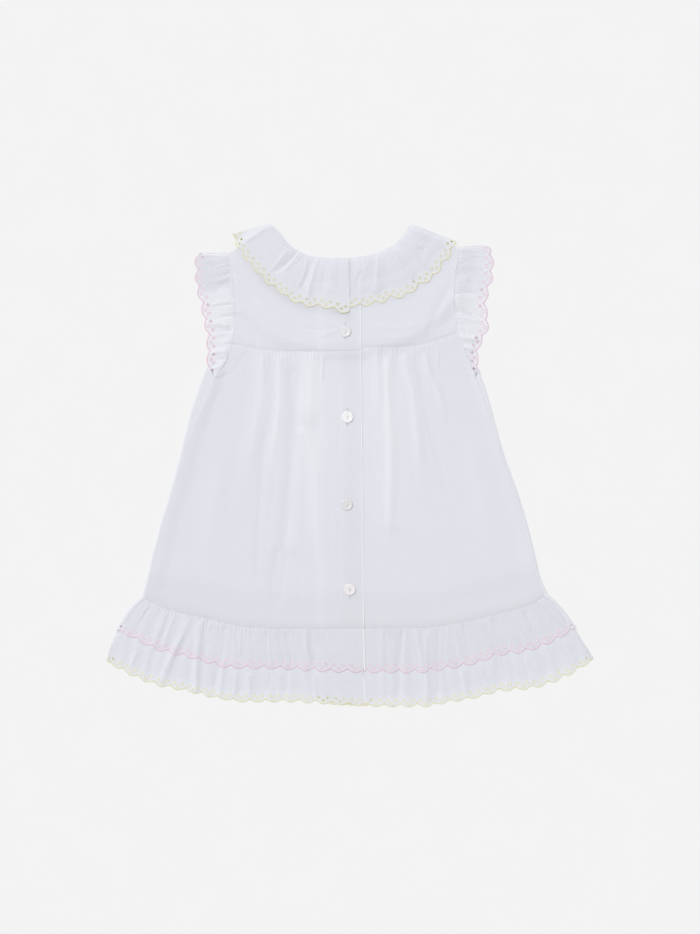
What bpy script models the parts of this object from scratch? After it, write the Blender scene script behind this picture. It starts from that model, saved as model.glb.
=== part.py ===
# Toddler dress laid flat on its front, so that its buttoned back looks up.
# +X is the viewer's right, +Y runs from the hem to the neck and +Z is up from the floor.
# The origin lies on the floor, under the middle of the dress.
import math

import bmesh
import bpy
import numpy as np

# Sizes are in millimetres. The meshes are made in metres.
millimetre = 0.001

wall = 1.0
gap = 0.35
layer = wall + gap
seamGap = 0.15
sideGap = 0.2
steps = 4
gatherSteps = 3

# Heights are those of a wall's middle, above the floor.
frontHeight = wall / 2
backHeight = frontHeight + layer
collarRoom = 2.4
sideLift = 1.35
hemHeight = 5.5
tierGap = 1.8
frontTierGap = 1.6
hemSwell = 1.05
placketLift = 3.25
collarHeight = backHeight + collarRoom + layer
neckRoll = 1.3
rollEnd = 0.55
stripGathered = 0.3
sleeveSwell = 1.15

# The placket: the left back lies over the right one from underEdge to overEdge.
placket = {"underEdge": -19.0, "overEdge": 9.4, "rampStart": -33.0, "rampEnd": -20.5}
# The neck frill comes down again between these two places past the placket's upper edge.
frillDown = {"start": 14.5, "end": 27.0}

# The front neckline and the outer edge of the front half of the neck frill are half ellipses.
frontNeck = {"x": -7.5, "y": 219.0, "across": 62.0, "down": 57.0}
frontFrill = {"x": -5.5, "y": 207.0, "across": 100.0, "down": 86.0, "tilt": 3.5}
frontFrillFolds = {"count": 8, "height": 1.0}
# The yokes come down again between these shares of that ellipse.
frontRamp = (1.05, 1.14)
backRamp = (1.15, 1.30)

scallop = {"pitch": 16.0, "depth": 3.4}
# A scallop takes no more than this share of the last row.
scallopShare = 1.0 / 3.0

button = {"diameter": 10.8, "thickness": 2.2, "dish": 0.5, "rim": 1.6, "hole": 1.7, "spread": 2.6}
buttonPlaces = [(-4.5, 124.3), (-2.4, 45.9), (-2.9, -34.6), (-0.3, -112.3)]

cottonWhite = (0.79, 0.80, 0.85)
pearlGrey = (0.62, 0.62, 0.64)

# Back neckline with both shoulders, from the left arm to the right arm: x, y
neckLine = [
    (-112.3, 194.9), (-91.5, 207.5), (-70.8, 220.4), (-67.5, 218.0), (-61.4, 211.4),
    (-56.1, 203.4), (-47.8, 198.4), (-39.4, 194.6), (-28.0, 192.3), (-12.8, 191.7),
    (-1.9, 191.8), (12.7, 193.5), (24.2, 196.0), (34.0, 200.1), (40.6, 204.1),
    (47.1, 210.3), (51.0, 216.0), (54.8, 220.8), (77.2, 210.5), (99.5, 200.2),
]

# Armhole seams from the shoulder to the underarm: x, y
armholeLeft = [
    (-112.3, 194.9), (-109.6, 181.2), (-107.5, 167.5), (-106.3, 152.8), (-105.5, 138.1),
    (-106.6, 125.4), (-108.8, 113.5), (-113.0, 99.5), (-118.3, 90.0), (-124.2, 82.0),
]
armholeRight = [
    (99.5, 200.2), (98.6, 190.5), (96.3, 178.0), (95.4, 163.3), (95.8, 146.7),
    (96.9, 133.9), (98.9, 123.7), (104.4, 108.0), (109.0, 97.0), (115.2, 82.0),
]

# Seam between yokes and skirts, left to right: x, y
yokeLine = [
    (-108.8, 113.5), (-82.6, 108.7), (-55.7, 106.3), (-23.8, 106.2), (7.9, 107.0),
    (31.7, 109.2), (55.6, 111.2), (71.5, 114.2), (87.4, 119.4), (98.9, 123.7),
]

# Hem seam, and the free edges of the two tiers, left to right: x, y
hemSeam = [
    (-191.2, -119.4), (-165.6, -130.9), (-133.1, -138.3), (-100.1, -146.0), (-62.7, -148.1),
    (12.1, -147.9), (64.6, -147.4), (105.5, -141.7), (131.6, -135.8), (162.3, -127.7),
    (181.2, -116.4),
]
pinkEdge = [
    (-214.2, -149.5), (-203.3, -155.0), (-179.6, -166.8), (-145.4, -175.5), (-108.8, -184.5),
    (-66.4, -185.2), (-10.3, -188.0), (54.7, -188.8), (90.7, -185.2), (115.4, -180.2),
    (138.0, -172.5), (160.6, -169.6), (186.9, -159.7), (207.5, -147.5),
]
yellowEdge = [
    (-223.5, -179.0), (-203.3, -190.4), (-177.9, -200.4), (-149.7, -206.2), (-120.4, -213.0),
    (-95.5, -216.0), (-58.0, -215.8), (-8.0, -218.4), (35.0, -220.3), (68.6, -220.0),
    (91.5, -216.2), (116.8, -212.1), (138.6, -206.0), (165.0, -203.9), (187.3, -197.5),
    (208.8, -187.0), (223.9, -176.8),
]

# The folds' lines run from the hem seam (0) to the pink edge (1) and on to the yellow edge (2).
hemLines = [hemSeam, pinkEdge, yellowEdge]
tierFoldLeft = [-191.2, -214.2, -223.5]
tierFoldRight = [181.2, 207.5, 223.9]
# The tiers' turns at the sides
upperRadius = 2.5
lowerInset = 1.45
tierFlap = 1.0

# Skirt from underarm (0) to hem seam (1):
# share, left fold x, left seam x, right seam x, right fold x
skirtSides = [
    (0.00, -135.5, -124.2, 115.2, 121.5),
    (0.10, -143.5, -131.3, 124.0, 128.4),
    (0.20, -149.5, -141.0, 130.2, 133.9),
    (0.35, -156.8, -153.6, 139.4, 142.6),
    (0.50, -165.5, -162.3, 150.9, 154.1),
    (0.65, -174.2, -171.0, 160.0, 163.2),
    (0.80, -181.6, -178.2, 166.7, 170.1),
    (0.92, -187.0, -183.2, 171.6, 175.4),
    (1.00, -191.2, -187.2, 177.2, 181.2),
]

# Share of the skirt where its rise to the hem seam starts
hemRise = 0.89
# The front skirt's lines at the yoke, from one side fold to the other
frontColumns = [-134.1, -124.2, -118.3, -113.0, -108.8, -82.6, -55.7, -23.8, 7.9, 31.7, 55.6]
frontColumns += [71.5, 87.4, 98.9, 104.4, 109.6, 115.2, 120.1]
# A back skirt comes down from its side seam between these distances from it.
sideRamp = (2.0, 16.0)
# A back skirt's plain lines next to the side seam follow the armhole.
sideColumns = 4

# The yokes follow the first seven points of the armholes, and bend to them over this width.
yokeEnd = 7
armholeReach = 40.0

# Points round each side fold
turnPoints = 5
# Rows of points down a yoke, a skirt, the two tiers and the gathered strips
yokeRows = 8
skirtShares = np.array([0.0, 0.06, 0.18, 0.34, 0.52, 0.71, 0.90, 1.0])
upperRows = np.array([0.0, 0.35, 1.0])
lowerRows = np.array([0.0, 0.45, 1.0, 2.0])
# A fold's height at its gathered seam, as a share of its full height
gatheredShare = 0.2
neckRows = [0.0, 0.16, 0.5, 1.0]
sleeveRows = [0.0, 0.35, 1.0]

# Ridges of the back skirts: x at the yoke, half way and at the hem,
# height at the yoke, half way and at the hem
leftSkirtFolds = [
    (-118.3, -149.5, -176.5, 0.0, 0.0, 0.0),
    (-113.0, -140.5, -165.0, 0.0, 0.0, 0.0),
    (-108.8, -131.0, -154.0, 0.0, 0.3, 0.2),
    (-97.5, -116.0, -139.5, 0.0, 0.6, 0.4),
    (-86.2, -101.8, -124.7, 1.0, 1.8, 0.6),
    (-80.0, -92.6, -111.0, 1.2, 0.3, 0.0),
    (-74.9, -83.4, -98.1, 1.2, 1.0, 0.4),
    (-69.9, -75.2, -88.0, 1.2, 0.2, 0.0),
    (-64.6, -66.0, -77.0, 1.4, 1.2, 0.6),
    (-58.7, -59.6, -70.6, 1.2, 0.3, 0.0),
    (-52.7, -54.1, -64.2, 1.1, 0.2, 0.0),
    (-42.2, -44.0, -51.8, 1.6, 2.6, 1.8),
    (-36.7, -37.6, -41.3, 1.1, 0.4, 0.2),
    (-31.2, -29.8, -26.6, 1.4, 2.0, 1.0),
    (-25.2, -23.8, -21.1, 1.1, 0.3, 0.0),
    (-19.3, -18.3, -16.5, 0.8, 0.1, 0.0),
    (-11.0, -9.2, -7.3, 0.0, 0.0, 0.0),
    (9.4, 11.0, 12.1, 0.0, 0.0, 0.0),
]
rightSkirtFolds = [
    (-19.0, -17.4, -15.6, 0.0, 0.0, 0.0),
    (11.0, 12.6, 13.6, 0.0, 0.0, 0.0),
    (15.6, 16.6, 17.2, 1.0, 0.6, 0.0),
    (20.9, 21.5, 21.1, 1.2, 0.5, 0.0),
    (28.0, 28.4, 26.6, 1.2, 0.3, 0.0),
    (34.4, 35.1, 33.0, 1.5, 1.8, 0.9),
    (40.8, 45.9, 50.4, 1.2, 0.4, 0.0),
    (46.8, 54.1, 64.2, 1.2, 0.3, 0.0),
    (55.0, 65.1, 78.9, 1.4, 1.6, 0.6),
    (61.9, 73.4, 96.3, 1.2, 0.4, 0.0),
    (68.6, 83.4, 117.4, 1.4, 2.0, 0.8),
    (76.6, 97.2, 137.6, 1.3, 1.2, 0.3),
    (82.5, 110.0, 152.0, 0.8, 0.3, 0.0),
    (90.5, 120.0, 158.5, 0.0, 0.6, 0.4),
    (98.9, 130.5, 164.0, 0.0, 0.3, 0.2),
    (104.4, 138.0, 168.5, 0.0, 0.0, 0.0),
    (109.6, 144.5, 173.0, 0.0, 0.0, 0.0),
]

# Ridges of the hem tiers: x at the hem seam, at the pink edge and at the yellow edge, height
leftHemFolds = [
    (-184.0, -203.8, -211.5, 1.2),
    (-178.4, -193.9, -200.8, 1.6),
    (-168.7, -182.5, -189.8, 2.4),
    (-159.6, -172.4, -182.0, 1.3),
    (-148.6, -161.4, -172.9, 3.2),
    (-141.2, -150.4, -156.8, 1.2),
    (-134.3, -139.8, -141.7, 3.2),
    (-124.3, -128.4, -131.1, 1.3),
    (-113.7, -116.9, -120.6, 3.0),
    (-104.1, -106.4, -109.1, 1.2),
    (-93.5, -92.6, -93.1, 1.5),
    (-77.0, -74.7, -72.8, 2.8),
    (-67.9, -64.6, -64.6, 1.2),
    (-58.7, -54.6, -56.4, 1.8),
    (-41.3, -40.3, -36.7, 2.4),
    (-26.6, -24.8, -22.9, 1.0),
    (-11.0, -10.1, -9.2, 0.4),
    (12.1, 12.8, 13.8, 0.0),
]
rightHemFolds = [
    (-15.6, -15.6, -14.7, 0.0),
    (15.6, 16.5, 17.2, 0.0),
    (28.4, 29.8, 30.3, 1.8),
    (38.1, 38.1, 38.1, 1.2),
    (50.0, 50.9, 52.3, 2.8),
    (61.4, 67.4, 70.6, 3.2),
    (79.8, 81.6, 86.7, 1.8),
    (88.9, 92.6, 97.2, 1.2),
    (98.1, 104.1, 109.1, 1.7),
    (107.3, 115.5, 121.5, 1.3),
    (116.5, 127.5, 133.4, 1.7),
    (126.5, 138.9, 146.7, 3.2),
    (139.4, 152.7, 160.5, 1.4),
    (151.3, 166.0, 173.3, 1.6),
    (164.1, 178.4, 186.2, 3.0),
    (173.0, 194.5, 205.5, 1.3),
]
frontHemWaves = 14
frontHemHeight = 1.2

# Ridges of the neck frill on the back, from the centre to the shoulder:
# seam x, seam y, edge x, edge y, height
leftNeckFolds = [
    (-0.9, 191.7, -0.6, 139.4, 1.8),
    (-8.3, 191.7, -11.5, 142.6, 1.3),
    (-15.1, 191.7, -21.1, 145.3, 0.9),
    (-22.5, 192.0, -30.7, 146.7, 0.9),
    (-29.8, 192.6, -40.3, 147.2, 3.0),
    (-36.7, 193.9, -49.5, 150.4, 2.6),
    (-42.6, 196.2, -58.7, 155.4, 1.2),
    (-46.2, 197.7, -67.4, 162.3, 0.9),
    (-50.0, 199.7, -76.6, 168.7, 3.4),
    (-54.6, 202.8, -85.3, 178.4, 1.0),
    (-58.9, 207.6, -93.5, 187.1, 1.4),
    (-63.3, 213.2, -100.0, 196.2, 1.0),
    (-67.9, 218.2, -105.3, 204.9, 0.9),
    (-70.8, 220.6, -106.6, 211.8, 0.8),
]
rightNeckFolds = [
    (1.1, 191.9, 2.4, 145.9, 1.4),
    (8.0, 192.8, 11.8, 147.0, 1.8),
    (14.7, 193.5, 21.1, 149.5, 1.0),
    (21.1, 194.9, 28.0, 149.9, 2.8),
    (27.5, 196.9, 37.6, 154.5, 0.9),
    (33.0, 199.4, 47.2, 155.0, 0.9),
    (38.1, 202.2, 56.4, 159.6, 2.8),
    (42.2, 205.4, 64.6, 166.4, 0.9),
    (46.0, 209.3, 74.3, 171.5, 2.5),
    (48.9, 213.0, 81.2, 178.8, 1.2),
    (51.2, 216.3, 86.7, 187.5, 0.9),
    (52.9, 218.6, 93.1, 194.9, 0.9),
    (54.6, 220.4, 96.2, 204.6, 1.0),
]
# The strip's outermost line where it turns over each shoulder: seam x, seam y, edge x, edge y
leftNeckTurn = (-73.0, 223.6, -108.0, 214.2)
rightNeckTurn = (57.2, 222.9, 97.6, 207.4)

# Ridges of the armhole frills on the back, from the underarm to the shoulder:
# share of the armhole from the shoulder, edge x, edge y, height
leftSleeveFolds = [
    (0.975, -130.2, 84.4, 0.8),
    (0.90, -132.0, 90.0, 1.4),
    (0.82, -131.3, 97.5, 1.2),
    (0.74, -132.0, 105.5, 1.7),
    (0.67, -131.6, 113.2, 1.0),
    (0.60, -132.0, 121.0, 2.8),
    (0.52, -133.4, 129.3, 0.9),
    (0.44, -135.9, 138.5, 1.3),
    (0.36, -136.8, 147.2, 2.2),
    (0.28, -139.4, 156.8, 1.0),
    (0.20, -141.4, 166.0, 3.0),
    (0.11, -142.3, 176.5, 0.9),
    (0.04, -142.6, 189.0, 1.4),
]
rightSleeveFolds = [
    (0.975, 118.9, 84.4, 0.8),
    (0.90, 119.2, 91.5, 1.2),
    (0.82, 117.6, 98.8, 1.3),
    (0.74, 119.2, 106.8, 1.7),
    (0.67, 121.0, 115.1, 2.4),
    (0.60, 126.1, 123.8, 1.0),
    (0.52, 127.9, 133.9, 2.8),
    (0.44, 126.1, 142.6, 1.0),
    (0.36, 126.1, 151.8, 1.6),
    (0.28, 127.5, 161.4, 1.0),
    (0.20, 130.2, 170.1, 3.0),
    (0.11, 131.9, 180.6, 1.4),
    (0.04, 131.6, 193.5, 1.8),
]
leftSleeveTurn = (-140.5, 196.6)
rightSleeveTurn = (129.4, 203.6)
frontSleeveWaves = 6
frontSleeveHeight = 0.8
# The sleeve frill's seam lies this far off the armhole, and its front half this share shorter.
sleeveOffset = 0.6
frontSleeveShort = 0.05
directionStep = 0.03


def removeObjects():
    for item in list(bpy.data.objects):
        bpy.data.objects.remove(item, do_unlink=True)


def smoothStep(low, high, value):
    share = np.clip((value - low) / (high - low), 0.0, 1.0)
    return share * share * (3.0 - 2.0 * share)


def blend(first, second, share):
    return first + (second - first) * share


# A smooth curve through a table's column that never swings past its neighbours.
def curve(knots, values, at):
    knots = np.asarray(knots, float)
    values = np.asarray(values, float)
    width = np.diff(knots)
    rise = np.diff(values) / width
    slopes = np.empty(len(knots))
    slopes[0] = rise[0]
    slopes[-1] = rise[-1]
    before = rise[:-1]
    after = rise[1:]
    together = before + after
    sameWay = before * after > 0
    slopes[1:-1] = np.where(sameWay, 2 * before * after / np.where(sameWay, together, 1.0), 0.0)
    at = np.clip(at, knots[0], knots[-1])
    first = np.clip(np.searchsorted(knots, at, side="right") - 1, 0, len(knots) - 2)
    span = width[first]
    share = (at - knots[first]) / span
    square = share * share
    cube = square * share
    start = (2 * cube - 3 * square + 1) * values[first]
    end = (3 * square - 2 * cube) * values[first + 1]
    leave = (cube - 2 * square + share) * span * slopes[first]
    arrive = (cube - square) * span * slopes[first + 1]
    return start + end + leave + arrive


def column(table, number):
    return np.array([row[number] for row in table], float)


def lineY(table, x):
    return np.interp(x, column(table, 0), column(table, 1))


def lineX(table, y):
    order = np.argsort(column(table, 1))
    return np.interp(y, column(table, 1)[order], column(table, 0)[order])


# The skirt's top edge: the yoke seam between the lower ends of the armholes.
def skirtTopY(x):
    left = lineY(sorted(armholeLeft[6:]), x)
    right = lineY(sorted(armholeRight[6:]), x)
    middle = lineY(yokeLine, x)
    y = np.where(x < yokeLine[0][0], left, middle)
    return np.where(x > yokeLine[-1][0], right, y)


def wave(place):
    return (1.0 + np.cos(2.0 * math.pi * place)) / 2.0


# The yokes rise over the front half of the neck frill.
def yokeRise(x, y, ramp):
    across = (x - frontFrill["x"]) / frontFrill["across"]
    down = (y - frontFrill["y"]) / frontFrill["down"]
    reach = np.sqrt(across * across + down * down)
    return collarRoom * (1.0 - smoothStep(*ramp, reach))


def placketShare(x):
    return smoothStep(placket["rampStart"], placket["rampEnd"], x)


# The neck frill lies over the placket and comes down on both sides of it.
def frillLift(x):
    return layer * float(placketShare(x) * (1.0 - smoothStep(frillDown["start"], frillDown["end"], x)))


def places(first, last, perUnit):
    count = int(round((last - first) * perUnit))
    return np.linspace(first, last, count + 1)


# Scallops cut the free edge back between their round tips.
def cutScallops(grid):
    edge = grid[:, -1]
    stride = np.linalg.norm(np.diff(edge, axis=0), axis=1)
    along = np.concatenate([[0.0], np.cumsum(stride)])
    count = max(1, round(along[-1] / scallop["pitch"]))
    phase = math.pi * along / along[-1] * count
    inset = scallop["depth"] * (1.0 - np.abs(np.sin(phase)))
    inward = grid[:, -2] - edge
    length = np.linalg.norm(inward, axis=1)
    inset = np.minimum(inset, length * scallopShare)
    grid[:, -1] = edge + inward * (inset / length)[:, None]
    return grid


def material(name, colour, roughness):
    finish = bpy.data.materials.new(name)
    finish.use_nodes = True
    shader = finish.node_tree.nodes["Principled BSDF"]
    shader.inputs["Base Color"].default_value = (*colour, 1.0)
    shader.inputs["Roughness"].default_value = roughness
    shader.inputs["Metallic"].default_value = 0.0
    return finish


def addObject(name, mesh, finish, home):
    item = bpy.data.objects.new(name, mesh)
    home.objects.link(item)
    mesh.materials.append(finish)
    return item


# A cloth wall is the open surface through a grid of points, with Solidify.
def cloth(name, grid, home, colour=cottonWhite):
    across, along = grid.shape[:2]
    points = (grid.reshape(-1, 3) * millimetre).tolist()
    faces = []
    for i in range(across - 1):
        for j in range(along - 1):
            corner = i * along + j
            faces.append((corner, corner + along, corner + along + 1, corner + 1))
    mesh = bpy.data.meshes.new(name)
    mesh.from_pydata(points, [], faces)
    mesh.shade_smooth()
    item = addObject(name, mesh, material(name + "_cotton", colour, 0.85), home)
    solid = item.modifiers.new("wall", "SOLIDIFY")
    solid.thickness = wall * millimetre
    solid.offset = 0.0
    return item


def yokeGrid(topX, topY, bottomX, height, ramp, side):
    shares = np.linspace(0.0, 1.0, yokeRows + 1)
    grid = np.empty((len(topX), len(shares), 3))
    for j, t in enumerate(shares):
        x = blend(topX, bottomX, t)
        y = blend(topY, lineY(yokeLine, bottomX) + seamGap, t)
        if side != "right":
            nearLeft = np.clip(1.0 + (x[0] - x) / armholeReach, 0.0, 1.0)
            x = x + (lineX(armholeLeft[:yokeEnd], y[0]) - x[0]) * nearLeft ** 2
        if side != "left":
            nearRight = np.clip(1.0 - (x[-1] - x) / armholeReach, 0.0, 1.0)
            x = x + (lineX(armholeRight[:yokeEnd], y[-1]) - x[-1]) * nearRight ** 2
        z = height + yokeRise(x, y, ramp)
        if side == "left":
            z = z + layer * placketShare(x)
        grid[:, j] = np.stack([x, y, z], axis=1)
    return grid


def buildYokes(home):
    left = np.array([-112.3, -98.0, -84.0, -70.8, -61.4, -54.0, -44.0, -33.0, -20.5, -6.0, 9.4])
    bottom = np.linspace(-108.8, placket["rampEnd"], 9)
    bottom = np.concatenate([bottom, [-6.0, placket["overEdge"]]])
    grid = yokeGrid(left, lineY(neckLine, left), bottom, backHeight, backRamp, "left")
    cloth("back_yoke_left", grid, home)

    right = np.array([-19.0, -5.0, 9.4, 24.2, 37.0, 47.1, 54.8, 69.0, 84.0, 99.5])
    bottom = np.concatenate([[-19.0, -5.0], np.linspace(9.4, 98.9, 8)])
    grid = yokeGrid(right, lineY(neckLine, right), bottom, backHeight, backRamp, "right")
    cloth("back_yoke_right", grid, home)

    turns = np.linspace(math.pi, 2.0 * math.pi, 11)
    neckX = frontNeck["x"] + frontNeck["across"] * np.cos(turns)
    neckY = frontNeck["y"] + frontNeck["down"] * np.sin(turns)
    leftArm = np.array([-112.3, -98.0, -84.0])
    rightArm = np.array([69.0, 84.0, 99.5])
    topX = np.concatenate([leftArm, neckX, rightArm])
    topY = np.concatenate([lineY(neckLine, leftArm), neckY, lineY(neckLine, rightArm)])
    knots = column(yokeLine, 0)
    between = (knots[1:-1] + knots[2:]) / 2.0
    bottom = np.sort(np.concatenate([knots, between[:len(topX) - len(knots)]]))
    cloth("front_yoke", yokeGrid(topX, topY, bottom, frontHeight, frontRamp, "both"), home)


# The skirts rise to the hem seam below the last button.
def hemPart(share):
    return smoothStep(hemRise, 1.0, share)


def sideX(number, share):
    return curve(column(skirtSides, 0), column(skirtSides, number), share)


def sideHeight(share):
    return blend(backHeight + sideLift, hemHeight, hemPart(share))


def ridgePath(first, middle, last, share):
    return curve([0.0, 0.5, 1.0], [first, middle, last], share)


# Ridges of one back skirt at one height of it, side seam included: x and height columns
def skirtRidges(folds, share, seamSide):
    x = [ridgePath(row[0], row[1], row[2], share) for row in folds]
    rise = [ridgePath(row[3], row[4], row[5], share) for row in folds]
    if seamSide == "left":
        return [sideX(2, share) + seamGap] + x, [0.0] + rise
    return x + [sideX(3, share) - seamGap], rise + [0.0]


def skirtGrid(folds, seamSide, at):
    grid = np.empty((len(at), len(skirtShares), 3))
    for j, t in enumerate(skirtShares):
        ridgeX, ridgeRise = skirtRidges(folds, t, seamSide)
        knots = np.arange(len(ridgeX))
        grid[:, j, 0] = curve(knots, ridgeX, at)
        grid[:, j, 2] = np.interp(at, knots, ridgeRise) * wave(at) * min(1.0, t / skirtShares[1])
    topY = skirtTopY(grid[:, 0, 0]) - seamGap
    bottomY = lineY(hemSeam, grid[:, -1, 0]) + seamGap
    for j, t in enumerate(skirtShares):
        x = grid[:, j, 0]
        grid[:, j, 1] = blend(topY, bottomY, t)
        fromSide = x - x[0] if seamSide == "left" else x[-1] - x
        base = backHeight + sideLift * (1.0 - smoothStep(*sideRamp, fromSide))
        base = blend(base, hemHeight, hemPart(t))
        base = base + yokeRise(x, grid[:, j, 1], backRamp)
        if seamSide == "left":
            base = base + blend(layer, placketLift, hemPart(t)) * placketShare(x)
        grid[:, j, 2] += base
    return grid


# A section round both sides: from the left seam over the left fold, below, and up again.
def wrappedSection(inLeft, foldLeft, foldRight, inRight, low, high, below):
    radius = (high - low) / 2.0
    turn = np.linspace(math.pi / 2.0, 3.0 * math.pi / 2.0, turnPoints)
    leftX = foldLeft + radius + radius * np.cos(turn)
    leftZ = low + radius + radius * np.sin(turn)
    rightX = foldRight - radius - radius * np.cos(turn[::-1])
    rightZ = low + radius + radius * np.sin(turn[::-1])
    middleX = blend(foldLeft + radius, foldRight - radius, below)
    middleZ = np.full(len(below), low)
    x = np.concatenate([[inLeft], leftX, middleX, rightX, [inRight]])
    z = np.concatenate([[high], leftZ, middleZ, rightZ, [high]])
    return x, z


def buildSkirts(home):
    folds = len(leftSkirtFolds)
    at = np.concatenate([np.arange(sideColumns), places(sideColumns, folds, gatherSteps)])
    cloth("back_skirt_left", skirtGrid(leftSkirtFolds, "left", at), home)
    folds = len(rightSkirtFolds)
    gathered = places(0, folds - sideColumns, gatherSteps)
    at = np.concatenate([gathered, np.arange(folds - sideColumns + 1, folds + 1)])
    cloth("back_skirt_right", skirtGrid(rightSkirtFolds, "right", at), home)

    width = frontColumns[-1] - frontColumns[0]
    topShare = (np.array(frontColumns[1:-1]) - frontColumns[0]) / width
    hemShare = np.linspace(0.0, 1.0, len(frontColumns))[1:-1]
    sections = []
    for t in skirtShares:
        below = blend(topShare, hemShare, t)
        x, z = wrappedSection(
            sideX(2, t) - sideGap, sideX(1, t), sideX(4, t), sideX(3, t) + sideGap,
            frontHeight, sideHeight(t), below)
        sections.append((x, z))
    topY = skirtTopY(sections[0][0]) - seamGap
    bottomY = lineY(hemSeam, sections[-1][0]) + 2.0 * seamGap
    grid = np.empty((len(topY), len(skirtShares), 3))
    for j, t in enumerate(skirtShares):
        grid[:, j] = np.stack([sections[j][0], blend(topY, bottomY, t), sections[j][1]], axis=1)
    cloth("front_skirt", grid, home)


def hemY(x, row):
    lines = [lineY(line, x) for line in hemLines]
    lines[0] = lines[0] - seamGap
    return rowBlend(lines, row)


def rowBlend(values, row):
    if row <= 1.0:
        return blend(values[0], values[1], row)
    return blend(values[1], values[2], row - 1.0)


# The folds open from the gathered seam on.
def hemSpread(row):
    return smoothStep(0.0, 0.9, row)


# Where the front tier ends on top of the side fold and the back tier begins
def tierSeamX(side, row, tier):
    inset = upperRadius * 2.0 + tierFlap
    if tier == "lower":
        inset = lowerInset * blend(2.0, 1.0, smoothStep(1.0, 2.0, row)) + lowerRadius(row) + tierFlap
    if side == "left":
        return rowBlend(tierFoldLeft, row) + inset
    return rowBlend(tierFoldRight, row) - inset


def lowerRadius(row):
    return (backTierHeight(row, "lower") - frontTierHeight(row, "lower")) / 2.0


# Below the pink edge the lower tiers sink to the floor.
def frontTierHeight(row, tier):
    if tier == "upper":
        return frontHeight
    return frontHeight + frontTierGap * (1.0 - smoothStep(1.0, 2.0, row))


def backTierHeight(row, tier):
    height = hemHeight + hemSwell * hemSpread(row)
    if tier == "upper":
        return height
    return height - tierGap - frontTierGap * smoothStep(1.0, 2.0, row)


def backTierGrid(folds, side, tier, rows, at):
    grid = np.empty((len(at), len(rows), 3))
    for j, row in enumerate(rows):
        x = [rowBlend(fold[:3], row) for fold in folds]
        rise = [fold[3] for fold in folds]
        seamX = tierSeamX(side, row, tier)
        if side == "left":
            x = [seamX + seamGap] + x
            rise = [0.0] + rise
        else:
            x = x + [seamX - seamGap]
            rise = rise + [0.0]
        knots = np.arange(len(x))
        across = curve(knots, x, at)
        swell = blend(gatheredShare, 1.0, hemSpread(row))
        height = backTierHeight(row, tier) + np.interp(at, knots, rise) * wave(at) * swell
        if side == "left":
            lift = blend(placketLift, layer + seamGap, smoothStep(1.0, 2.0, row))
            height = height + lift * placketShare(across)
        grid[:, j] = np.stack([across, hemY(across, row), height], axis=1)
    return cutScallops(grid)


def frontTierGrid(tier, rows):
    waveSteps = places(0, frontHemWaves, steps)
    below = waveSteps[1:-1] / frontHemWaves
    grid = None
    for j, row in enumerate(rows):
        foldLeft = rowBlend(tierFoldLeft, row)
        foldRight = rowBlend(tierFoldRight, row)
        low = frontTierHeight(row, tier)
        high = backTierHeight(row, tier)
        if tier == "lower":
            inset = lowerInset * (1.0 - smoothStep(1.0, 2.0, row))
            foldLeft += inset
            foldRight -= inset
        x, z = wrappedSection(
            tierSeamX("left", row, tier) - seamGap, foldLeft, foldRight,
            tierSeamX("right", row, tier) + seamGap, low, high, below)
        belowStart = turnPoints + 1
        z[belowStart:-belowStart] += frontHemHeight * hemSpread(row) * (1.0 - wave(waveSteps[1:-1]))
        if grid is None:
            grid = np.empty((len(x), len(rows), 3))
        grid[:, j] = np.stack([x, hemY(x, row), z], axis=1)
    return cutScallops(grid)


def buildHem(home):
    for tier, rows in (("lower", lowerRows), ("upper", upperRows)):
        cloth("hem_" + tier + "_front", frontTierGrid(tier, rows), home)
        for side, folds in (("left", leftHemFolds), ("right", rightHemFolds)):
            at = places(0, len(folds), steps)
            grid = backTierGrid(folds, side, tier, rows, at)
            cloth("hem_" + tier + "_back_" + side, grid, home)


# Each row of the table is a ridge:
# seam x, seam y, edge x, edge y, height, level at the seam, level at the edge, share of the roll
def stripGrid(table, at, shares, roll, spread):
    knots = np.arange(len(table))
    seamX, seamY, edgeX, edgeY, rise, level, edgeLevel = [
        curve(knots, column(table, number), at) for number in range(7)]
    grid = np.empty((len(at), len(shares), 3))
    for j, t in enumerate(shares):
        swell = smoothStep(0.0, spread, t)
        rolled = roll * math.sin(math.pi * min(1.0, t / rollEnd))
        height = rise * wave(at) * blend(stripGathered, 1.0, swell)
        z = blend(level, edgeLevel, swell) + height + np.interp(at, knots, column(table, 7)) * rolled
        grid[:, j] = np.stack([blend(seamX, edgeX, t), blend(seamY, edgeY, t), z], axis=1)
    return cutScallops(grid)


def buildNeckFrill(home):
    rows = []
    for fold in leftNeckFolds:
        level = collarHeight + frillLift(fold[0])
        rows.append((*fold, level, level, 1.0))
    turnLevel = (frontHeight + collarHeight) / 2.0
    rows.append((*leftNeckTurn, 0.0, turnLevel, turnLevel, 0.5))
    turns = np.linspace(math.pi, 2.0 * math.pi, frontFrillFolds["count"] + 2)
    for turn in turns:
        seamX = frontNeck["x"] + frontNeck["across"] * math.cos(turn)
        seamY = frontNeck["y"] + frontNeck["down"] * math.sin(turn)
        edgeX = frontFrill["x"] + frontFrill["across"] * math.cos(turn)
        edgeY = frontFrill["y"] + frontFrill["down"] * math.sin(turn)
        edgeY -= frontFrill["tilt"] * math.cos(turn)
        rise = frontFrillFolds["height"] * math.sqrt(abs(math.sin(turn)))
        rows.append((seamX, seamY, edgeX, edgeY, rise, frontHeight, frontHeight, 0.0))
    rows.append((*rightNeckTurn, 0.0, turnLevel, turnLevel, 0.5))
    for fold in reversed(rightNeckFolds):
        level = collarHeight + frillLift(fold[0])
        rows.append((*fold, level, level, 1.0))
    at = places(0, len(rows) - 1, steps)
    grid = stripGrid(rows, at, neckRows, neckRoll, 0.6)
    cloth("neck_frill", grid, home)


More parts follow.
